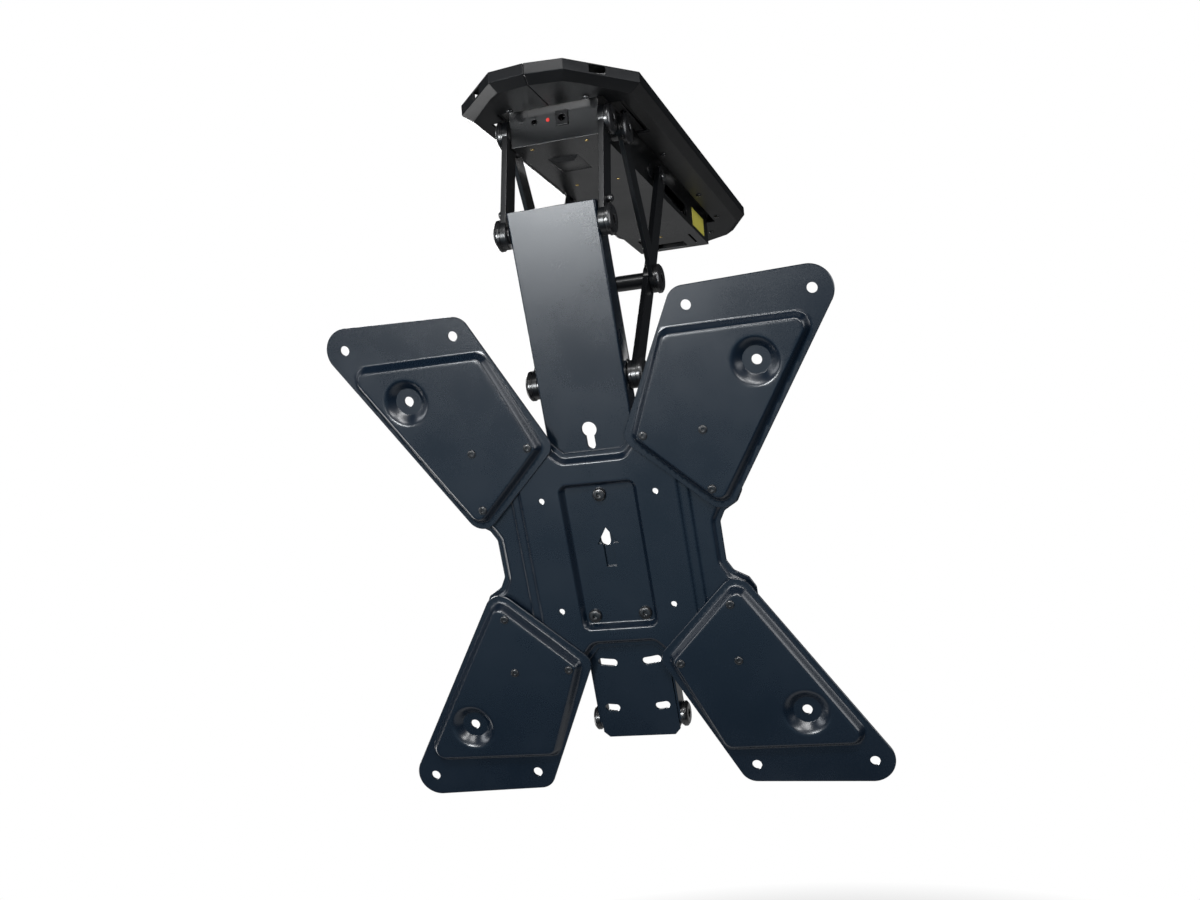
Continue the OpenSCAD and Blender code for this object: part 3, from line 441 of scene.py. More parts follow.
def at_plate(x, depth, height):
    """A point of the leaning screen plate, given in millimetres."""
    return plate_centre + Vector((x * MM, 0, 0)) + depth_plate * (depth * MM) \
        + up_plate * (height * MM)


def arm_fold(first, second):
    along = second - first
    if along.length < 20 * MM or abs(along.normalized().dot(up_plate)) < 0.99:
        return False
    depth = (first - plate_centre).dot(depth_plate) / MM
    return abs(first.x) > 37 * MM and depth < 6.5


soften("arm_front_cover", 0.15 * MM, 1, rules=[(arm_fold, 1.6 * MM, 4)])
soften("arm_channel", 0.3 * MM, 2)
print("arm softened")

# %% [markdown]
# ## Pressed plates
# The centre plate and the four corner plates are each one sheet, pressed between two tools.
# A press can't make a sharp step: each wall starts and ends in a soft curve. So the sheet is
# made as a surface whose depth is worked out at every point. A smooth step turns the distance
# from each press line into depth. A second layer behind and a rounded rim close the sheet.

# %% Outlines
def round_chain(corners, inset, steps=96):
    """Outline round some circles (x, height, radius), drawn in by a distance."""
    points = []
    for count in range(steps):
        turn = 2 * math.pi * count / steps
        way = (math.cos(turn), math.sin(turn))
        x, z, r = max(corners, key=lambda c: c[0] * way[0] + c[1] * way[1] + c[2])
        reach = max(r - inset, 0.3)
        points.append((x + reach * way[0], z + reach * way[1]))
    return points


def filleted(corners, radius, inset, steps=12):
    """Closed outline with round corners, drawn in by a distance. It runs left-handed round
    its inside, and inner corners are rounded too."""
    count = len(corners)
    moved = []
    for here in range(count):
        a, b, c = (Vector(corners[(here + k) % count]) for k in (-1, 0, 1))
        first, second = (b - a).normalized(), (c - b).normalized()
        left = Vector((-first.y, first.x)), Vector((-second.y, second.x))
        bisector = (left[0] + left[1]).normalized()
        moved.append(b + bisector * (inset / max(bisector.dot(left[0]), 0.2)))
    points = []
    for here in range(count):
        a, b, c = (moved[(here + k) % count] for k in (-1, 0, 1))
        first, second = (a - b), (c - b)
        span = first.angle(second)
        bulges = first.x * second.y - first.y * second.x < 0
        bend = max(radius - inset, 0.8) if bulges else radius + inset
        cut = min(bend / math.tan(span / 2), first.length * 0.48, second.length * 0.48)
        start, end = b + first.normalized() * cut, b + second.normalized() * cut
        for step in range(steps):
            t = step / (steps - 1)
            points.append(tuple(start * (1 - t) ** 2 + b * 2 * t * (1 - t) + end * t ** 2))
    return points


def divided(loop, step=2.6):
    """The same closed line with points no further apart than a step."""
    points = []
    for (ax, az), (bx, bz) in zip(loop, loop[1:] + loop[:1]):
        size = math.hypot(bx - ax, bz - az)
        if size < 0.05:
            continue
        parts = max(1, math.ceil(size / step))
        points += [(ax + (bx - ax) * k / parts, az + (bz - az) * k / parts)
                   for k in range(parts)]
    return points


def inside_chain(flat, corners, steps=720):
    """Exact distance inside the outline round some circles: above 0 inside."""
    best = np.full(len(flat), 1e9)
    for count in range(steps):
        turn = 2 * math.pi * count / steps
        across, up = math.cos(turn), math.sin(turn)
        reach = max(x * across + z * up + r for x, z, r in corners)
        best = np.minimum(best, reach - flat[:, 0] * across - flat[:, 1] * up)
    return best


def ring(x, z, radius, steps=32):
    """Circle that runs the other way round, for a hole."""
    return [(x + radius * math.cos(-2 * math.pi * k / steps),
             z + radius * math.sin(-2 * math.pi * k / steps)) for k in range(steps)]


def inside_depth(points, outline):
    """Distance of each point from the outline: above 0 inside, below 0 outside."""
    edge = np.array(outline)
    nxt = np.roll(edge, -1, axis=0)
    best = np.full(len(points), 1e9)
    inner = np.zeros(len(points), bool)
    for (ax, az), (bx, bz) in zip(edge, nxt):
        run = np.array((bx - ax, bz - az))
        size = max(run @ run, 1e-12)
        t = np.clip(((points[:, 0] - ax) * run[0] + (points[:, 1] - az) * run[1]) / size, 0, 1)
        best = np.minimum(best, np.hypot(points[:, 0] - ax - t * run[0],
                                         points[:, 1] - az - t * run[1]))
        crosses = (az > points[:, 1]) != (bz > points[:, 1])
        with np.errstate(divide="ignore", invalid="ignore"):
            where = ax + (points[:, 1] - az) * (bx - ax) / (bz - az)
        inner ^= crosses & (points[:, 0] < where)
    return np.where(inner, best, -best)


def soft_step(value):
    value = np.clip(value, 0, 1)
    return value * value * (3 - 2 * value)


print("outline helpers ready")

# %% [markdown]
# A fine triangle net covers the outline. Its edges follow the outline, the holes and some
# guide lines along each bend. Where guide lines would cross, single dots do the same. Each
# corner of a pressed face is then shaded by the true slope of the depth at that point, so
# that the triangles don't show in the gloss.

# %% The net and its slopes
sheet_thick, sheet_rim = 2.0, 0.5


def slope_normals(depth_of, flat, step=0.15):
    """Directions square to the pressed surface, from the slope of its depth."""
    slopes = []
    for way in ((step, 0), (0, step)):
        ahead, behind = depth_of(flat + np.array(way)), depth_of(flat - np.array(way))
        slopes.append((ahead - behind) / (2 * step))
    across = Vector((1, 0, 0))
    return [(across * float(dx) - depth_plate + up_plate * float(dz)).normalized()
            for dx, dz in zip(*slopes)]


def plane_net(border, holes, guides, dots, cell):
    """Points and triangles that cover the border without the holes. Guides are lines that
    the net must follow. Dots are left out where they come too near a line."""
    loops = [border] + holes + guides
    fixed, edges = [], []
    for loop in loops:
        base = len(fixed)
        fixed += loop
        edges += [(base + k, base + (k + 1) % len(loop)) for k in range(len(loop))]
    line = np.array(border)
    xs = np.arange(line[:, 0].min(), line[:, 0].max(), cell)
    zs = np.arange(line[:, 1].min(), line[:, 1].max(), cell)
    net = [(x + (row % 2) * cell / 2, z) for row, z in enumerate(zs) for x in xs]
    if dots:
        near = KDTree(len(dots))
        for k, (x, z) in enumerate(dots):
            near.insert((x, z, 0), k)
        near.balance()
        net = [p for p in net if near.find((p[0], p[1], 0))[2] > cell * 0.5]
    net = np.array(net + dots)
    keep = inside_depth(net, border) > cell * 0.45
    for hole in holes:
        keep &= inside_depth(net, hole) < -cell * 0.45
    for guide in guides:
        keep &= np.abs(inside_depth(net, guide)) > cell * 0.4
    points = [Vector(p) for p in fixed] + [Vector(p) for p in net[keep]]
    flat, _, faces, *_ = geometry.delaunay_2d_cdt(points, edges, [], 1, 1e-4)
    flat = np.array([tuple(p) for p in flat])
    middle = np.array([flat[list(f)].mean(axis=0) for f in faces])
    good = inside_depth(middle, border) > 0
    for hole in holes:
        good &= inside_depth(middle, hole) < 0
    return flat, [f for f, fine in zip(faces, good) if fine]


# %% The sheet builder
def pressed_sheet(outline_at, holes, depth_of, guides, dots=(), cell=2.2):
    """A pressed sheet as a form, from an outline, holes and a depth in millimetres."""
    border = outline_at(sheet_rim)
    flat, faces = plane_net(border, holes, guides, list(dots), cell)
    depth = depth_of(flat)
    form = bmesh.new()
    slope = form.verts.layers.float_vector.new("slope")
    front = [form.verts.new(at_plate(x, n, z)) for (x, z), n in zip(flat, depth)]
    back = [form.verts.new(at_plate(x, n + sheet_thick, z)) for (x, z), n in zip(flat, depth)]
    for k, way in enumerate(slope_normals(depth_of, flat)):
        front[k][slope] = way
        back[k][slope] = -way
    for a, b, c in faces:
        form.faces.new((front[a], front[b], front[c])).material_index = 1
        form.faces.new((back[c], back[b], back[a])).material_index = 1
    close_rim(form, front, back, flat, outline_at(0), border, depth)
    for vert in [v for v in form.verts if not v.link_faces]:
        form.verts.remove(vert)
    bmesh.ops.recalc_face_normals(form, faces=form.faces)
    return form


def close_rim(form, front, back, flat, outer, border, depth):
    """Joins the two layers: plain walls in holes, and a rounded edge round the outline."""
    form.verts.index_update()
    lookup = {front[k].index: k for k in range(len(front))}
    placed = {}
    for k, point in enumerate(border):
        placed[(round(point[0], 2), round(point[1], 2))] = outer[k]
    mids = {}

    def middle(k, share):
        if (k, share) not in mids:
            x, z = flat[k]
            x, z = placed.get((round(x, 2), round(z, 2)), (x, z))
            mids[(k, share)] = form.verts.new(at_plate(x, depth[k] + share, z))
        return mids[(k, share)]

    for edge in [e for e in form.edges if len(e.link_faces) == 1]:
        a, b = (v.index for v in edge.verts)
        if a not in lookup or b not in lookup:
            continue
        a, b = lookup[a], lookup[b]
        on_border = (round(flat[a][0], 2), round(flat[a][1], 2)) in placed
        shares = [sheet_rim, sheet_thick - sheet_rim] if on_border else []
        rows = [[front[a], front[b]]]
        rows += [[middle(a, s), middle(b, s)] for s in shares]
        rows.append([back[a], back[b]])
        for upper, lower in zip(rows, rows[1:]):
            form.faces.new((upper[0], upper[1], lower[1], lower[0]))


def finish_sheet(form, name, node):
    """Turns the form into a piece, whose pressed faces are shaded by their true slope."""
    mesh = bpy.data.meshes.new(name)
    form.to_mesh(mesh)
    form.free()
    smooth(mesh, 40)
    slopes = mesh.attributes["slope"].data
    turned = []
    for face in mesh.polygons:
        pressed = face.material_index == 1
        turned += [slopes[v].vector.copy() if pressed else Vector() for v in face.vertices]
    mesh.normals_split_custom_set(turned)
    mesh.attributes.remove(mesh.attributes["slope"])
    mesh.polygons.foreach_set("material_index", [0] * len(mesh.polygons))
    return link_piece(name, mesh, body_of_node[node], [node])


print("sheet builder ready")

# %% [markdown]
# ## Corner plates
# One design is used four times, mirrored. Its wide end is a flange with two screen holes. The
# rest is pressed forward into a panel, and the panel has a dish for the inner screen hole,
# so that a screw head stays below the surface.

# %% Make the corner plates
flange_rounds = [(197, 199, 20), (99, 201, 15), (44, 99, 12), (105, 46, 15)]
panel_rounds = [(183, 172, 12), (84, 172, 12), (47, 99, 7), (105, 48.3, 11)]
corner_front = -5.5
panel_rise, panel_wall = 8.0, 6.2
dish_floor, dish_edge, dish_rise = 11.6, 21.0, 6.5
hole_near, hole_mid, hole_far = 100, 150, 200
screen_hole, screw_hole = 4.3, 2.4
screw_places = [(100, 100), (50, 100), (100, 50)]
panel_bends = (-0.6, 0.4, 1.5, 2.7, 4.0, 5.5)
dish_bends = (11.4, 11.8, 13.2, 14.8, 16.6, 18.6, 20.8)


def corner_depth(flat):
    panel = inside_chain(flat, panel_rounds)
    rise = panel_rise * soft_step((panel - panel_bends[0]) / panel_wall) ** 0.75
    away = np.hypot(flat[:, 0] - hole_mid, flat[:, 1] - hole_mid)
    part = np.clip((away - dish_floor) / (dish_edge - dish_floor), 0, 1)
    return corner_front - rise + dish_rise * (1 - part) ** 2 * (1 + 0.8 * part)


def corner_plate(node, side, end):
    """One plate on a side (-1 left, 1 right) and at an end (-1 low, 1 high)."""
    holes = [ring(x, z, screen_hole) for x, z in ((hole_far, hole_far), (hole_near, hole_far),
                                                  (hole_mid, hole_mid))]
    holes += [ring(x, z, screw_hole, 20) for x, z in screw_places]
    guides = [divided(round_chain(panel_rounds, inset)) for inset in panel_bends]
    guides += [ring(hole_mid, hole_mid, radius, 60) for radius in dish_bends]
    form = pressed_sheet(lambda inset: round_chain(flange_rounds, inset), holes, corner_depth,
                         guides)
    slope = form.verts.layers.float_vector["slope"]
    turn = Matrix.Scale(side, 3, Vector((1, 0, 0)))
    flip = Matrix.Scale(end, 3, up_plate)
    for vert in form.verts:
        vert.co = plate_centre + flip @ turn @ (vert.co - plate_centre)
        vert[slope] = flip @ turn @ vert[slope]
    form.normal_update()
    bmesh.ops.recalc_face_normals(form, faces=form.faces)
    return finish_sheet(form, node + "_pressed", node)


for node, side, end in (("corner_plate_upper_right", 1, 1),
                        ("corner_plate_upper_left", -1, 1),
                        ("corner_plate_lower_right", 1, -1),
                        ("corner_plate_lower_left", -1, -1)):
    made = corner_plate(node, side, end)
    print(node, "faces", len(made.data.polygons))

# %% [markdown]
# ## Centre plate
# The centre plate has a narrow flange, then a low strip, then a raised field that steps up
# twice at the sides. A deep recess takes the three bolts and an arrow that shows which
# way is up. The arrow is cut right through, and its tip shows the light behind.

# %% Outline of the centre plate
quarter = [(99, 0), (99, 17), (104, 26), (116, 33), (121, 42), (121, 56), (110, 75),
           (110, 102), (104, 108), (44, 108), (25, 88), (0, 88)]
right_top = quarter[:-1]
left_top = [(-x, z) for x, z in reversed(right_top)]
left_low = [(-x, -z) for x, z in right_top[1:]]
right_low = [(x, -z) for x, z in reversed(right_top[1:])]
centre_corners = right_top + left_top + left_low + right_low
outline_bend = 5


def centre_outline(inset):
    """The plate's outline, drawn in by a distance."""
    return filleted(centre_corners, outline_bend, inset)


def boxed(flat, half_x, low, high, radius):
    """Distance inside a rectangle with round corners."""
    middle = (low + high) / 2
    dx = np.abs(flat[:, 0]) - (half_x - radius)
    dz = np.abs(flat[:, 1] - middle) - ((high - low) / 2 - radius)
    outside = np.hypot(np.maximum(dx, 0), np.maximum(dz, 0))
    return radius - outside - np.minimum(np.maximum(dx, dz), 0)


print("centre outline corners", len(centre_corners))

# %% Depth of the centre plate
flange_width, flange_depth, field_rise = 3.6, 3.0, 3.5
inner_step, outer_step = 71.5, 79.5
recess_half, recess_low, recess_high = 34.5, -69.5, 62.5


def centre_depth(flat):
    edge = inside_depth(flat, centre_outline(0))
    depth = flange_depth - flange_depth * soft_step((edge - flange_width) / 4.2)
    across = 0.5 * soft_step((inner_step - np.abs(flat[:, 0])) / 4.5) \
        + 0.5 * soft_step((outer_step - np.abs(flat[:, 0])) / 4.0)
    along = soft_step((edge - flange_width) / 5.5)
    depth = depth - field_rise * across * along
    recess = soft_step((boxed(flat, recess_half, recess_low, recess_high, 8) + 0.2) / 5.0)
    return depth * (1 - recess) + flange_depth * recess


def recess_line(inset):
    """A guide line along the wall of the recess."""
    half, low, high = recess_half - inset, recess_low + inset, recess_high - inset
    corners = [(half, low), (half, high), (-half, high), (-half, low)]
    return divided(filleted(corners, 9 - inset, 0))


print("recess height", recess_high - recess_low)

# %% Make the centre plate
arrow = [(-9.5, 6), (-4.6, 6), (-4.6, -14.7), (4.6, -14.7), (4.6, 6), (9.5, 6), (0, 20.5)]
guides = [divided(centre_outline(inset)) for inset in (flange_width, 4.7, 6.1, 7.6, 9.1)]
dots = [(side * x, z * 1.25) for x in (67.0, 69.2, inner_step, 75.5, 77.5, outer_step)
        for z in range(-78, 79) for side in (-1, 1)]
guides += [recess_line(inset) for inset in (-0.2, 1.1, 2.4, 3.7, 4.8)]
plate_bolt_places = [(0, 50), (22.5, -58), (-22.5, -58)]
holes = [ring(x, z, 2.6, 24) for x in (-50, 50) for z in (-50, 50)]
holes += [ring(x, z, 3.0, 20) for x, z in plate_bolt_places]
holes += [ring(sx * x, sz * z, screw_hole, 16) for x, z in screw_places
          for sx in (-1, 1) for sz in (-1, 1)]
holes += [arrow]
form = pressed_sheet(centre_outline, holes, centre_depth, guides, dots, cell=1.7)
made = finish_sheet(form, "centre_plate_pressed", "centre_plate")
print("centre plate faces", len(made.data.polygons))

# %% [markdown]
# ## Screws and rivets by the dozen
# Small fasteners repeat, so one is made and copied by Geometry Nodes. The tree takes a cloud
# of points, puts the piece on each, turned by an attribute that each point carries, and
# makes the copies real. Its result becomes a plain mesh, because a modifier does not travel
# with the model.

# %% A turned piece with round or hexagonal rings
def turned_mesh(form, rows, name, angle):
    """Joins rows of points into a closed skin, and gives it as a smooth mesh."""
    steps = len(rows[0])
    for lower, upper in zip(rows, rows[1:]):
        for k in range(steps):
            nxt = (k + 1) % steps
            form.faces.new((lower[k], lower[nxt], upper[nxt], upper[k]))
    form.faces.new(rows[0][::-1])
    form.faces.new(rows[-1])
    bmesh.ops.recalc_face_normals(form, faces=form.faces)
    mesh = bpy.data.meshes.new(name)
    form.to_mesh(mesh)
    form.free()
    smooth(mesh, angle)
    return mesh


def turned_piece(name, rings, steps=48):
    """Builds a turned piece from rings (radius, height, corners). Corners 0 is round."""
    form = bmesh.new()
    rows = []
    for radius, height, corners in rings:
        row = []
        for k in range(steps):
            angle = 2 * math.pi * k / steps
            reach = radius
            if corners:
                part = math.pi / corners
                reach = radius * math.cos(part) / math.cos(angle % (2 * part) - part)
            row.append(form.verts.new((reach * MM * math.cos(angle),
                                       reach * MM * math.sin(angle), height * MM)))
        rows.append(row)
    piece = bpy.data.objects.new(name, turned_mesh(form, rows, name, 35))
    scene.collection.objects.link(piece)
    return piece


# %% The tree that repeats a piece
def repeat_tree():
    tree = bpy.data.node_groups.new("repeat_piece", "GeometryNodeTree")
    face = tree.interface
    face.new_socket("Geometry", in_out="INPUT", socket_type="NodeSocketGeometry")
    face.new_socket("Piece", in_out="INPUT", socket_type="NodeSocketObject")
    face.new_socket("Finish", in_out="INPUT", socket_type="NodeSocketMaterial")
    size = face.new_socket("Size", in_out="INPUT", socket_type="NodeSocketFloat")
    size.default_value = 1.0
    face.new_socket("Geometry", in_out="OUTPUT", socket_type="NodeSocketGeometry")
    add = tree.nodes.new
    start, end = add("NodeGroupInput"), add("NodeGroupOutput")
    info, turn = add("GeometryNodeObjectInfo"), add("GeometryNodeInputNamedAttribute")
    turn.data_type = "FLOAT_VECTOR"
    turn.inputs["Name"].default_value = "turn"
    spin = add("FunctionNodeEulerToRotation")
    copies, real = add("GeometryNodeInstanceOnPoints"), add("GeometryNodeRealizeInstances")
    paint = add("GeometryNodeSetMaterial")
    link = tree.links.new
    link(start.outputs["Piece"], info.inputs["Object"])
    link(start.outputs["Geometry"], copies.inputs["Points"])
    link(info.outputs["Geometry"], copies.inputs["Instance"])
    link(turn.outputs["Attribute"], spin.inputs["Euler"])
    link(spin.outputs["Rotation"], copies.inputs["Rotation"])
    link(start.outputs["Size"], copies.inputs["Scale"])
    link(copies.outputs["Instances"], real.inputs["Geometry"])
    link(real.outputs["Geometry"], paint.inputs["Geometry"])
    link(start.outputs["Finish"], paint.inputs["Material"])
    link(paint.outputs["Geometry"], end.inputs["Geometry"])
    return tree


repeating = repeat_tree()


def repeat(name, piece, places, node, size=1.0):
    """Copies a piece to places (point, direction) and stands the result for a node."""
    cloud = bpy.data.meshes.new(name + "_places")
    cloud.from_pydata([point for point, _ in places], [], [])
    turns = cloud.attributes.new("turn", "FLOAT_VECTOR", "POINT")
    for k, (_, direction) in enumerate(places):
        turns.data[k].vector = direction.to_track_quat("Z", "Y").to_euler()
    carrier = bpy.data.objects.new(name, cloud)
    scene.collection.objects.link(carrier)
    modifier = carrier.modifiers.new("repeat", "NODES")
    modifier.node_group = repeating
    sockets = {item.name: item.identifier for item in repeating.interface.items_tree
               if item.item_type == "SOCKET" and item.in_out == "INPUT"}
    modifier[sockets["Piece"]] = piece
    modifier[sockets["Finish"]] = finish[slot_of_node[node]]
    modifier[sockets["Size"]] = size
    bpy.context.view_layer.update()
    seen = carrier.evaluated_get(bpy.context.evaluated_depsgraph_get())
    result = bpy.data.meshes.new_from_object(seen)
    result.name = name
    carrier.modifiers.clear()
    bpy.data.objects.remove(carrier)
    bpy.data.objects.remove(piece)
    made = link_piece(name, result, body_of_node[node], [node])
    print(name, "copies", len(places), "faces", len(result.polygons))
    return made


# %% [markdown]
# The small screws of the screen plate are button heads with a hexagon socket. Their rings
# go down the shank, round the head and into the socket.

# %% Make the small screws and rivets
toward_viewer = -depth_plate
down = Vector((0, 0, -1))


def button_screw(name, shank, length, head, height, socket, nut=None):
    """A button head screw, measured from under its head. A nut is (radius, low, high)."""
    rings = [(shank, -length, 0)]
    if nut:
        radius, low, high = nut
        rings += [(shank, -high, 0), (radius * 0.95, -high, 6), (radius, -high + 0.3, 6),
                  (radius, -low - 0.3, 6), (radius * 0.95, -low, 6), (shank, -low, 0)]
    rings += [(shank, 0.0, 0), (head * 0.97, 0.0, 0), (head, 0.12 * height, 0),
              (head, 0.45 * height, 0), (head * 0.97, 0.7 * height, 0),
              (head * 0.88, 0.92 * height, 0), (head * 0.78, height, 0),
              (socket * 1.08, height, 6), (socket, height - 0.12, 6),
              (socket, height * 0.35, 6), (socket * 0.3, height * 0.3, 6)]
    return turned_piece(name, rings)


corner_places = [(at_plate(sx * x, corner_front - panel_rise, sz * z), toward_viewer)
                 for x, z in screw_places for sx in (-1, 1) for sz in (-1, 1)]
corner_screw = button_screw("button_screw", shank=2.4, length=15.4, head=3.6, height=1.4,
                            socket=1.7)
repeat("corner_screws_made", corner_screw, corner_places, "corner_screws")
plate_places = [(at_plate(x, flange_depth, z), toward_viewer) for x, z in plate_bolt_places]
plate_bolt = button_screw("plate_bolt", shank=3.0, length=9.0, head=5.7, height=3.4,
                          socket=2.3, nut=(5.5, 5.1, 9.0))
repeat("screen_plate_bolts_made", plate_bolt, plate_places, "screen_plate_bolts")

# %% [markdown]
# The large pivot bolts are all one family: a shank, a thin washer, a grooved and bevelled
# head, and a hexagon socket. They differ in length, head and in what grips them inside.
# The table gives where the shank starts, where the head sits, the head's radius, and each
# collar or nut as (from, to, radius). Lengths run outwards from the middle of the mount.

# %% Make the pivot bolts
def pivot_head(name, start, seat, radius, inner):
    """Rings of a pivot bolt, measured outwards from the middle of the mount."""
    thick, bevel, shank = 5.4, 1.6, 4.0
    out = seat + thick
    rings = [(shank, start, 0)]
    for low, high, wide in inner:
        rings += [(shank, low, 0), (wide - 0.2, low, 0), (wide, low + 0.2, 0),
                  (wide, high - 0.2, 0), (wide - 0.2, high, 0), (shank, high, 0)]
    rings += [(shank, seat, 0), (radius - 1, seat, 0), (radius - 1, seat + 0.95, 0),
              (radius - 0.3, seat + 1.0, 0), (radius, seat + 1.25, 0),
              (radius, seat + 2.1, 0), (radius - 0.45, seat + 2.2, 0),
              (radius - 0.45, seat + 2.45, 0), (radius, seat + 2.55, 0),
              (radius, out - bevel - 0.35, 0), (radius - 0.2, out - bevel, 0),
              (radius - 2.0, out - 0.18, 0), (radius - 2.45, out, 0),
              (5.0, out, 0), (4.4, out, 6), (4.0, out - 0.35, 6), (4.0, out - 3.0, 6),
              (0.8, out - 3.0, 6)]
    return turned_piece(name, rings, 60)


bolts = {
    "front_pivot_bolts": (37.5, 44.6, 13, [(39.0, 39.4, 9)]),
    "rear_pivot_bolts": (33.5, 50.4, 13, [(33.7, 37.5, 7)]),
    "middle_pivot_bolts": (40.7, 50.3, 13, []),
    "lower_pivot_bolts": (31.9, 46.0, 13, [(32.1, 34.9, 11), (38.3, 41.0, 12)]),
    "upper_pivot_bolts": (35.2, 44.6, 13, []),
    "tilt_pivot_bolts": (29.2, 37.2, 11, [(29.4, 32.2, 6.5)]),
}
for node, (start, seat, radius, inner) in bolts.items():
    low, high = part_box(node)
    centre = Vector((0, (low.y + high.y) / 2, (low.z + high.z) / 2))
    places = [(centre, Vector((side, 0, 0))) for side in (-1, 1)]
    repeat(node + "_made", pivot_head(node + "_one", start, seat, radius, inner), places, node)

# %% [markdown]
# Six small brass rivets show on the underside of the housing, and ten small screws hold the
# covers. The rivets are measured from the housing's front face, and the screws from the
# middle of the mount.

# %% Rivets and cover screws
rivet_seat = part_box("housing_rivets")[1].z
rivet = turned_piece("rivet", [(1.6, 0.0, 0), (1.58, 0.25, 0), (1.35, 0.6, 0),
                               (0.95, 0.76, 0), (0.4, 0.8, 0)], 24)
rivet_places = [(-24, 11.1), (24, 11.1), (-21.5, 124.8), (17.5, 126.1), (17.2, 182.1),
                (0, 350.2)]
repeat("housing_rivets_made", rivet,
       [(Vector((x * MM, housing_low.y + y * MM, rivet_seat)), down) for x, y in rivet_places],
       "housing_rivets")
cover_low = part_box("cover_right")[0].z
cover_screw = turned_piece("cover_screw", [
    (1.5, -8.4, 0), (1.5, 0.0, 0), (2.9, 0.0, 0), (3.0, 0.15, 0), (2.9, 0.6, 0),
    (2.6, 1.2, 0), (2.3, 1.6, 0), (1.3, 1.6, 6), (1.25, 1.45, 6), (1.2, 0.6, 6),
    (0.3, 0.5, 6)], 36)
cover_gap = 0.15
post_places = [(33, -238), (53, -64), (53, 85), (53, 176), (33, 238)]
repeat("cover_screws_made", cover_screw,
       [(Vector((side * (x + cover_gap) * MM, y * MM, cover_low)), down)
        for x, y in post_places for side in (-1, 1)], "cover_screws")

# %% [markdown]
# ## Thread of the drive screw
# The screw shows only through the slots of the housing. Its thread is a real ridge: rings
# of points follow the shaft, and their radius rises and falls with the turn.

# %% Sizes of the drive screw
shaft_low, shaft_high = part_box("lead_screw")
axis_z = (shaft_low.z + shaft_high.z) / 2
plain, root, crest, pitch = 5 * MM, 5.2 * MM, 5.98 * MM, 4 * MM
thread_start, thread_end = shaft_low.y + 20.5 * MM, shaft_high.y - 12.5 * MM
thread_step = 0.5 * MM


def thread_radius(y, share):
    """Radius of the ridge at a place along the screw and a share of a turn."""
    phase = ((y - thread_start) / pitch - share) % 1.0
    ridge = min(max(2.2 - abs(phase - 0.5) * 8, 0), 1)
    return root + (crest - root) * ridge


print("thread turns", round((thread_end - thread_start) / pitch, 1))


# %% Make the drive screw
def threaded_shaft(name, steps=40):
    places = [(shaft_low.y, plain), (thread_start, plain)]
    y = thread_start
    while y < thread_end:
        places.append((y, None))
        y += thread_step
    places += [(thread_end, plain), (shaft_high.y, plain)]
    form = bmesh.new()
    rows = []
    for y, radius in places:
        row = []
        for k in range(steps):
            angle = 2 * math.pi * k / steps
            reach = radius or thread_radius(y, k / steps)
            row.append(form.verts.new((reach * math.cos(angle), y,
                                       axis_z + reach * math.sin(angle))))
        rows.append(row)
    return turned_mesh(form, rows, name, 50)


mesh = threaded_shaft("drive_screw_thread")
link_piece("drive_screw_thread", mesh, body_of_node["lead_screw"], ["lead_screw"])
print("drive screw faces", len(mesh.polygons))

# %% [markdown]
# ## Floor and background
# The photograph has a plain white ground. The world shows white to the camera and through
# clear things, but lights the object with a calm grey. Gloss doesn't see the white: black
# steel that mirrors white all round turns grey, and the photograph's steel is darker. A pale
# disc lies well below the object for its shadow, and fades into the white at its edge.

# %% World
def studio_world():
    world = bpy.data.worlds.new("studio")
    world.use_nodes = True
    tree = world.node_tree
    tree.nodes.clear()
    wire = Wire(tree)
    path = wire.node("ShaderNodeLightPath")
    outs = path.end.node.outputs
    seen = (Wire(tree, outs["Is Camera Ray"]) + Wire(tree, outs["Is Transmission Ray"])).clamped()
    calm = wire.node("ShaderNodeBackground", {},
                     {"Color": (0.85, 0.92, 1.0, 1), "Strength": 0.035})
    white = wire.node("ShaderNodeBackground", {}, {"Color": (1, 1, 1, 1), "Strength": 1.0})
    mixed = wire.node("ShaderNodeMixShader", {}, {0: seen, 1: calm, 2: white})
    output = tree.nodes.new("ShaderNodeOutputWorld")
    tree.links.new(mixed.end, output.inputs["Surface"])
    return world


scene.world = studio_world()
print("world", scene.world.name)

# %% Floor
floor_radius, floor_back, floor_height = 0.75, 0.4, -0.95


def pale_floor():
    """A matt disc that turns into the white ground towards its edge."""
    pale = bpy.data.materials.new("pale_floor")
    pale.use_nodes = True
    tree = pale.node_tree
    tree.nodes.clear()
    wire = Wire(tree)
    place = wire.node("ShaderNodeTexCoord", out="Object")
    apart = place.node("ShaderNodeSeparateXYZ", {}, {0: place})
    outs = apart.end.node.outputs
    x, y = Wire(tree, outs["X"]), Wire(tree, outs["Y"]) - floor_back
    away = (x * x + y * y) ** 0.5
    grain = place.noise(0.02, 2.0)
    matt = wire.node("ShaderNodeBsdfDiffuse", {},
                     {"Color": grain.blend((0.42, 0.42, 0.42, 1), (0.46, 0.46, 0.46, 1))})
    ground = wire.node("ShaderNodeEmission", {}, {"Color": (1, 1, 1, 1), "Strength": 1.0})
    path = wire.node("ShaderNodeLightPath")
    seen = Wire(tree, path.end.node.outputs["Is Camera Ray"])
    fade = away.between(0.25, 0.7) * seen
    mixed = wire.node("ShaderNodeMixShader", {}, {0: fade, 1: matt, 2: ground})
    output = tree.nodes.new("ShaderNodeOutputMaterial")
    tree.links.new(mixed.end, output.inputs["Surface"])
    return pale


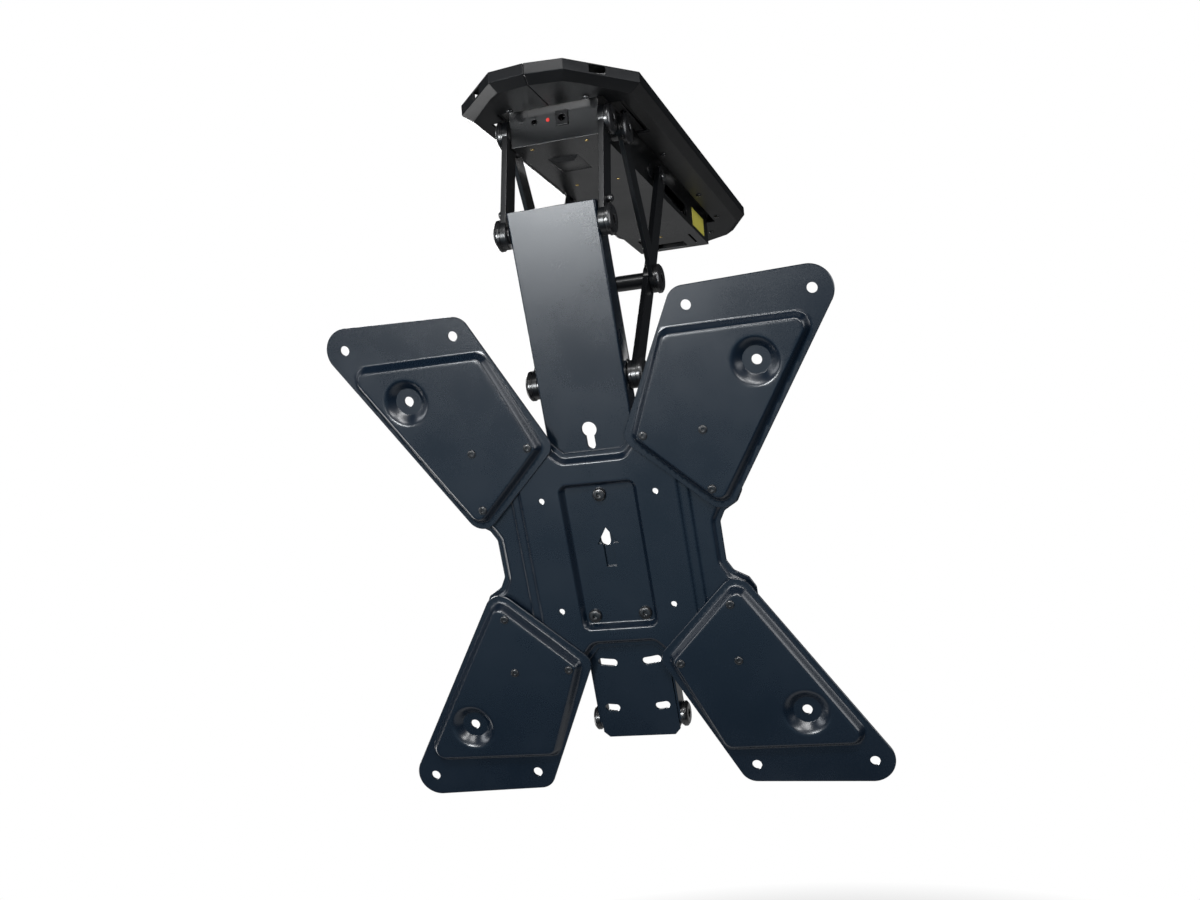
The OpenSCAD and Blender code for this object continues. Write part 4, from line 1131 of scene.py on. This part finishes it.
form = bmesh.new()
bmesh.ops.create_circle(form, cap_ends=True, segments=96, radius=floor_radius)
floor_mesh = bpy.data.meshes.new("floor")
form.to_mesh(floor_mesh)
form.free()
floor_mesh.transform(Matrix.Translation((0, floor_back, floor_height)))
floor_mesh.materials.append(pale_floor())
floor = bpy.data.objects.new("floor", floor_mesh)
scene.collection.objects.link(floor)
print("floor at", floor_height)

# %% [markdown]
# ## Lamps
# Black steel shows its shape by what it mirrors, so each lamp is there to be mirrored. The
# low key draws a bright line along every press step and leaves a dark band above it. A small
# sheen lamp in front fades down the arm. A broad bluish one below gives the plates their
# cool tone, and a weak one behind does the same for the underside of the housing. Lamps at
# both sides draw the long edges, and two behind open the shadows.

# %% Place the lamps
def soft_lamp(name, place, target, size, power, tint=(1, 1, 1)):
    data = bpy.data.lights.new(name, "AREA")
    data.shape = "RECTANGLE"
    data.size, data.size_y = size
    data.energy = power
    data.color = tint
    lamp = bpy.data.objects.new(name, data)
    lamp.location = place
    lamp.rotation_euler = (Vector(target) - Vector(place)).to_track_quat("-Z", "Y").to_euler()
    scene.collection.objects.link(lamp)
    return lamp


middle = (0, -0.12, -0.3)
soft_lamp("key_above", (0.3, -1.75, 0.85), middle, (1.5, 0.3), 36)
soft_lamp("ground_back", (0.1, 1.7, -0.75), (0, 0.1, -0.05), (1.8, 0.5), 1.0)
soft_lamp("ground_front", (0, -1.9, -1.55), (0, -0.2, -0.4), (3.0, 0.9), 3.4,
          (0.5, 0.78, 1))
soft_lamp("sheen_front", (-0.55, -2.1, -0.50), (0, -0.2, -0.1), (0.45, 0.45), 40,
          (0.95, 0.98, 1))
soft_lamp("side_right", (1.7, -0.5, 0.0), middle, (0.5, 1.2), 12, (0.95, 0.97, 1))
soft_lamp("edge_right", (0.95, -1.85, 0.0), middle, (0.25, 0.7), 15)
soft_lamp("side_left", (-1.6, -0.9, 0.1), middle, (0.4, 1.2), 12, (0.93, 0.96, 1))
soft_lamp("back_fill", (-1.1, 1.9, 0.45), middle, (1.2, 0.9), 40)
soft_lamp("under_left", (-1.6, 0.4, -1.0), (0, 0, -0.2), (0.9, 0.9), 14)

# %% [markdown]
# ## Camera
# The camera stands low and a little to the right, looking up by about six degrees. Its place
# was solved from the standard spacing of the screen holes.

# %% Place the camera
focal_pixels, picture_width, sensor = 1320.2, 1200, 36
camera_data = bpy.data.cameras.new("camera")
camera_data.lens = focal_pixels * sensor / picture_width
camera_data.sensor_width = sensor
camera_data.clip_start, camera_data.clip_end = 0.05, 20
camera = bpy.data.objects.new("camera", camera_data)
camera.location = (0.32321, -1.23607, -0.40766)
camera.rotation_mode = "QUATERNION"
camera.rotation_quaternion = (0.66729, 0.728744, 0.135524, 0.072724)
scene.collection.objects.link(camera)
scene.camera = camera
scene.view_settings.view_transform = "Standard"
print("camera lens", round(camera_data.lens, 2))
